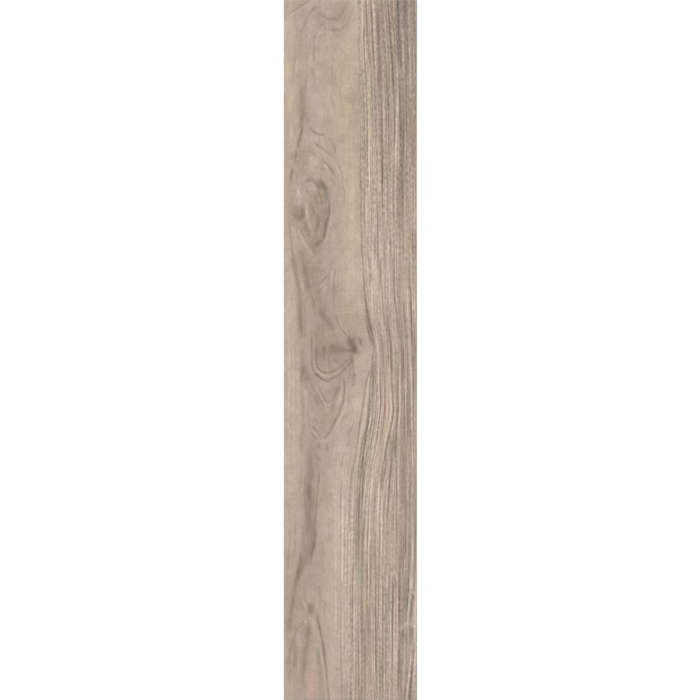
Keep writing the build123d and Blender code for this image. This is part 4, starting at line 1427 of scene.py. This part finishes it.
@dataclass
class PrintedPlank:
    """The tile as one closed mesh: a face with grain relief, an arris, four ground edges and a keyed back.

    Sizes are in mm. The keyed back is a field of shallow cells with leaning walls and ribs between them.
    """

    width: float
    length: float
    thickness: float
    arris: float = 0.6
    margin: float = 8.0  # least plain border round the cells
    key_pitch: float = 27.0
    key_rib: float = 4.0
    key_depth: float = 0.8
    key_draft: float = 30.0  # lean of a cell's walls, in degrees
    relief_blend: float = 1.2  # width inside the arris over which the relief comes in
    face_columns: int = 238
    face_rows: int = 380
    fine_columns: tuple[Point, ...] = ((0.0, 0.7), (84.0, 0.7), (86.0, 1.0), (228.0, 1.0))
    fine_rows: tuple[Point, ...] = (
        (0.0, 1.4), (60.0, 1.0), (205.0, 1.0), (215.0, 1.9), (430.0, 1.9), (440.0, 1.0),
        (560.0, 1.0), (570.0, 1.9), (760.0, 1.9), (770.0, 1.0), (1200.0, 1.0),
    )
    grading_steps: int = 8  # steps per place from which graded places are read
    map_edge: float = 0.01  # share of the map that is left free at its edges and between its lanes

    def graded(self, span: float, count: int, crowding: tuple[Point, ...]) -> Array:
        """Places from arris to arris, spaced inversely to how crowded each stretch is.

        Args:
            span: Length or width of the tile.
            count: Number of places.
            crowding: Stations with how crowded the places are there.

        Returns:
            The places, rising.
        """
        fine = np.linspace(self.arris, span - self.arris, self.grading_steps * count)
        stations = np.array(crowding)
        density = np.interp(fine, stations[:, 0], stations[:, 1])
        total = np.concatenate(([0.0], np.cumsum((density[1:] + density[:-1]) / 2.0)))
        return np.interp(np.linspace(0.0, total[-1], count), total, fine)

    def face_sheet(self) -> Sheet:
        """Places of the face's vertices: graded rows and columns inside the arris, and one at each edge.

        Returns:
            The sheet of those places.
        """
        columns = self.graded(self.width, self.face_columns, self.fine_columns)
        rows = self.graded(self.length, self.face_rows, self.fine_rows)
        columns = np.concatenate(([0.0], columns, [self.width]))
        rows = np.concatenate(([0.0], rows, [self.length]))
        across, along = np.meshgrid(columns, rows)
        return Sheet(columns, rows, across, along)

    def face_heights(self, sheet: Sheet, depth: Array) -> Array:
        """Heights of the face: the thickness less the relief, and less the arris on the outer edge.

        Args:
            sheet: Places of the face's vertices.
            depth: Depth of the relief there.

        Returns:
            The heights above the back.
        """
        aside = np.minimum(sheet.across, self.width - sheet.across)
        edge = np.minimum(aside, np.minimum(sheet.along, self.length - sheet.along))
        inside = ease((edge - self.arris) / self.relief_blend)
        return self.thickness - np.clip(self.arris - edge, 0.0, None) - depth * inside

    def key_lines(self, span: float) -> tuple[Array, Array]:
        """Lines of the keyed back over one span: both ends, and the mouth and floor edges of every cell.

        Args:
            span: Length or width of the tile.

        Returns:
            Places of the lines, and for each line whether it lies on a cell's floor.
        """
        count = 2 * int((span - 2.0 * self.margin + self.key_rib) / (2.0 * self.key_pitch))
        middles = (np.arange(count) - (count - 1) / 2.0) * self.key_pitch + span / 2.0
        mouth = (self.key_pitch - self.key_rib) / 2.0
        floor = mouth - self.key_depth * math.tan(math.radians(self.key_draft))
        offsets = np.array((-mouth, -floor, floor, mouth))
        low = np.tile(np.array((False, True, True, False)), count)
        places = (middles[:, None] + offsets).ravel()
        return np.concatenate(([0.0], places, [span])), np.concatenate(([False], low, [False]))

    def back(self) -> tuple[Array, Array]:
        """The keyed back: heights on the grid of its lines, raised where both lines lie on a cell's floor.

        Returns:
            Vertices as rows by columns by 3, and triangles split so that a cell's corners are straight hips.
        """
        columns, low_columns = self.key_lines(self.width)
        rows, low_rows = self.key_lines(self.length)
        across, along = np.meshgrid(columns, rows)
        height = self.key_depth * (low_rows[:, None] & low_columns[None, :])
        places = np.stack((across, along, height), axis=-1)
        index = np.arange(across.size).reshape(across.shape)
        a, b, c, d = index[:-1, :-1], index[:-1, 1:], index[1:, 1:], index[1:, :-1]
        flat = height.ravel()
        other = np.abs(flat[b] - flat[d]) > np.abs(flat[a] - flat[c])
        first = np.where(other[..., None], np.stack((a, b, d), -1), np.stack((a, b, c), -1))
        second = np.where(other[..., None], np.stack((b, c, d), -1), np.stack((a, c, d), -1))
        return places, np.concatenate((first.reshape(-1, 3), second.reshape(-1, 3)))

    def walls(self, face: Array, back: Array) -> list[Array]:
        """The four ground edges, each one face from the arris down to the back's border.

        Args:
            face: Vertex numbers of the face, rows by columns.
            back: Vertex numbers of the back, rows by columns.

        Returns:
            Vertex numbers round each edge, facing outwards: the left, right, far and near ones.
        """
        return [
            np.concatenate((face[::-1, 0], back[:, 0])),
            np.concatenate((face[:, -1], back[::-1, -1])),
            np.concatenate((face[0, :], back[0, ::-1])),
            np.concatenate((face[-1, ::-1], back[-1, :])),
        ]

    def skin(self, sheet: Sheet, depth: Array) -> Skin:
        """Puts the face, the back and the edges together into one closed surface.

        Args:
            sheet: Places of the face's vertices.
            depth: Depth of the relief there.

        Returns:
            The surface: quads on the face, triangles on the back, and one face for each edge.
        """
        face_places = np.stack((sheet.across, sheet.along, self.face_heights(sheet, depth)), axis=-1)
        back_places, back_faces = self.back()
        face = np.arange(sheet.across.size).reshape(sheet.across.shape)
        back = np.arange(back_places[..., 0].size).reshape(back_places.shape[:2]) + face.size
        quads = np.stack((face[:-1, :-1], face[1:, :-1], face[1:, 1:], face[:-1, 1:]), axis=-1)
        walls = self.walls(face, back)
        counts = (quads[..., 0].size, len(back_faces)) + (1,) * len(walls)
        sides = np.repeat((4, 3) + tuple(len(wall) for wall in walls), counts)
        inner = np.zeros(quads.shape[:2], bool)
        inner[1:-1, 1:-1] = True
        return Skin(
            places=np.concatenate((face_places.reshape(-1, 3), back_places.reshape(-1, 3))),
            corners=np.concatenate([quads.ravel(), (back_faces + face.size).ravel()] + walls),
            totals=sides,
            parts=np.repeat(np.array(Part), counts),
            smooth=np.concatenate((inner.ravel(), np.zeros(len(sides) - inner.size, bool))),
        )

    def in_metres(self, places: Array) -> Array:
        """Turns places on the tile into points of the shared frame.

        Args:
            places: Places across, along and up, in mm.

        Returns:
            The points, in metres.
        """
        across, along, up = places.T
        return np.stack((across - self.width / 2.0, self.length / 2.0 - along, up), axis=1) * MM

    def bake_map(self, skin: Skin) -> Array:
        """Flat map for baking: face, back and edges side by side in lanes, at one scale.

        Args:
            skin: The tile's surface.

        Returns:
            Map place of each corner.
        """
        part = np.repeat(skin.parts, skin.totals)
        scale = (1.0 - 2.0 * self.map_edge) / self.length
        across, along, up = skin.places[skin.corners].T
        gap = self.length * self.map_edge
        lanes = np.cumsum([0.0, self.width + gap, self.width + gap] + [self.thickness + gap] * 3)
        aside = np.where(part < Part.LEFT, across, up) + lanes[part]
        down = np.where(part < Part.FAR, along, across)
        return np.stack((aside, self.length - down), axis=1) * scale + self.map_edge

    def mesh(self, skin: Skin) -> bpy.types.Mesh:
        """Puts the surface into a mesh with its map.

        Args:
            skin: The tile's surface.

        Returns:
            The mesh, with the first material on the face and the second on all else.
        """
        mesh = bpy.data.meshes.new("printed_plank")
        mesh.vertices.add(len(skin.places))
        mesh.vertices.foreach_set("co", self.in_metres(skin.places).ravel())
        mesh.loops.add(len(skin.corners))
        mesh.loops.foreach_set("vertex_index", skin.corners)
        mesh.polygons.add(len(skin.totals))
        mesh.polygons.foreach_set("loop_start", np.cumsum(skin.totals) - skin.totals)
        mesh.polygons.foreach_set("material_index", (skin.parts > Part.FACE).astype(np.int32))
        mesh.polygons.foreach_set("use_smooth", skin.smooth)
        mesh.update(calc_edges=True)
        mesh.uv_layers.new(name=BAKE_MAP).uv.foreach_set("vector", self.bake_map(skin).ravel())
        return mesh

    def keep_print(self, mesh: bpy.types.Mesh, sheet: Sheet, drawn: Drawn) -> None:
        """Keeps the print on the mesh's vertices, with plain values on the back's.

        Args:
            mesh: The tile's mesh, whose first vertices are the face's.
            sheet: Places of the face's vertices.
            drawn: The print there.
        """
        tinted = np.concatenate((drawn.colour, drawn.fibre[..., None]), axis=-1)
        course = np.stack((drawn.grain, sheet.along, np.zeros(drawn.grain.shape)), axis=-1)
        kept = (
            (PRINT_COLOUR, "FLOAT_COLOR", "color", tinted, 1.0),
            (SAND_SHARE, "FLOAT", "value", drawn.sand[..., None], 0.0),
            (GRAIN_PLACE, "FLOAT_VECTOR", "vector", course, 0.0),
        )
        for name, kind, field, values, plain in kept:
            on_face = values.reshape(drawn.grain.size, -1)
            on_back = np.full((len(mesh.vertices) - len(on_face), on_face.shape[1]), plain)
            layer = mesh.attributes.new(name, kind, "POINT")
            layer.data.foreach_set(field, np.concatenate((on_face, on_back)).ravel())

    def build(self, grain_print: GrainPrint) -> bpy.types.Object:
        """Makes the piece with its print and map.

        Args:
            grain_print: The print to draw on the face.

        Returns:
            The finished piece, with a material slot number on every face.
        """
        sheet = self.face_sheet()
        drawn = grain_print.draw(sheet)
        mesh = self.mesh(self.skin(sheet, drawn.depth))
        self.keep_print(mesh, sheet, drawn)
        if mesh.validate():
            raise ValueError("the plank's mesh needed mending")
        piece = bpy.data.objects.new("printed_plank", mesh)
        bpy.context.scene.collection.objects.link(piece)
        return piece

    def dress(self, piece: bpy.types.Object, glaze: PrintedGlaze, body: FiredBody) -> None:
        """Gives the piece its two finishes and its place in the frame.

        Args:
            piece: The plank.
            glaze: Finish of the face and the arris.
            body: Finish of the edges and the back.
        """
        piece.data.materials.append(glaze.material())
        piece.data.materials.append(body.material())
        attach(piece, "root")
        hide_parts("floor_tile")


@dataclass
class Studio:
    """White floor, plain soft light and the camera straight above the tile, in metres and degrees."""

    floor_half: float = 20.0
    floor_drop: float = 0.0002  # gap under the tile
    floor_diffuse: Colour = (0.1, 0.1, 0.1, 1.0)
    floor_glow: float = 0.92
    white: Colour = (1.0, 1.0, 1.0, 1.0)
    sky: float = 0.72
    sun: float = 1.07
    sun_angle: float = 30.0
    sun_lean: tuple[float, float, float] = (-24.0, -26.0, 0.0)
    lens: float = 100.0  # mm, as the sensor
    sensor: float = 36.0
    frame_height: float = 1.199  # length of the tile's face that fills the picture
    face_height: float = 0.009
    offset: float = -0.0006  # the camera's place across

    def seen(self, nodes: Nodes) -> Socket:
        """Adds nodes that give 1 for rays that show the background: camera, glossy and transmission rays.

        Args:
            nodes: Node tree to add them to.

        Returns:
            An output of 1 for such rays and nothing for others.
        """
        path = nodes.node("ShaderNodeLightPath")
        shown = path.outputs["Is Camera Ray"]
        for name in ("Is Glossy Ray", "Is Transmission Ray"):
            shown = nodes.maths("MAXIMUM", shown, path.outputs[name])
        return shown

    def floor(self) -> None:
        """Makes the floor: a plane that takes the tile's shadow and glows to white for the camera."""
        half = self.floor_half
        corners = ((-half, -half), (half, -half), (half, half), (-half, half))
        mesh = bpy.data.meshes.new("floor")
        mesh.from_pydata([(x, y, -self.floor_drop) for x, y in corners], [], [tuple(range(len(corners)))])
        finish = Finish("white_floor")
        diffuse = finish.node("ShaderNodeBsdfDiffuse")
        diffuse.inputs["Color"].default_value = self.floor_diffuse
        glow = finish.node("ShaderNodeEmission")
        finish.join(finish.times(self.seen(finish), self.floor_glow), glow.inputs["Strength"])
        both = finish.node("ShaderNodeAddShader")
        finish.join(diffuse.outputs["BSDF"], both.inputs[0])
        finish.join(glow.outputs["Emission"], both.inputs[1])
        finish.end(both.outputs["Shader"])
        mesh.materials.append(finish.material)
        floor = bpy.data.objects.new("floor", mesh)
        bpy.context.scene.collection.objects.link(floor)

    def light(self) -> None:
        """Lights the scene with an even sky and a soft sun, under which a colour looks as it is written."""
        world = bpy.data.worlds.new("studio")
        world.use_nodes = True
        nodes = Nodes(world.node_tree)
        background = world.node_tree.nodes["Background"]
        background.inputs["Color"].default_value = self.white
        strength = nodes.node("ShaderNodeMapRange")
        strength.inputs["To Min"].default_value = self.sky
        strength.inputs["To Max"].default_value = 1.0
        nodes.join(self.seen(nodes), strength.inputs["Value"])
        nodes.join(strength.outputs["Result"], background.inputs["Strength"])
        bpy.context.scene.world = world
        lamp = bpy.data.lights.new("soft_sun", "SUN")
        lamp.energy = self.sun
        lamp.angle = math.radians(self.sun_angle)
        sun = bpy.data.objects.new("soft_sun", lamp)
        sun.rotation_euler = tuple(math.radians(turn) for turn in self.sun_lean)
        bpy.context.scene.collection.objects.link(sun)

    def camera(self) -> None:
        """Puts the camera straight above the tile, at the height where its length fills the frame."""
        data = bpy.data.cameras.new("camera")
        data.lens = self.lens
        data.sensor_width = self.sensor
        camera = bpy.data.objects.new("camera", data)
        camera.location = (self.offset, 0.0, self.face_height + self.frame_height * self.lens / self.sensor)
        bpy.context.scene.collection.objects.link(camera)
        bpy.context.scene.camera = camera


def cad_sizes() -> list[float]:
    """Sizes of the CAD box in mm: its width, length and thickness."""
    return [round((high - low) / MM, SIZE_PLACES) for low, high in zip(*cad_box)]


def main() -> None:
    """Builds the tile and the studio, and notes how many vertices and faces the plank has."""
    logging.basicConfig(level=logging.INFO, format="%(name)s: %(message)s")
    bpy.context.scene.view_settings.view_transform = "Standard"
    plank = PrintedPlank(*cad_sizes())
    piece = plank.build(GrainPrint())
    plank.dress(piece, PrintedGlaze(), FiredBody())
    log.info("printed plank: %d vertices, %d faces", len(piece.data.vertices), len(piece.data.polygons))
    studio = Studio()
    studio.floor()
    studio.light()
    studio.camera()
    log.info("studio: floor, sky, sun and camera")


if __name__ == "__main__":
    main()
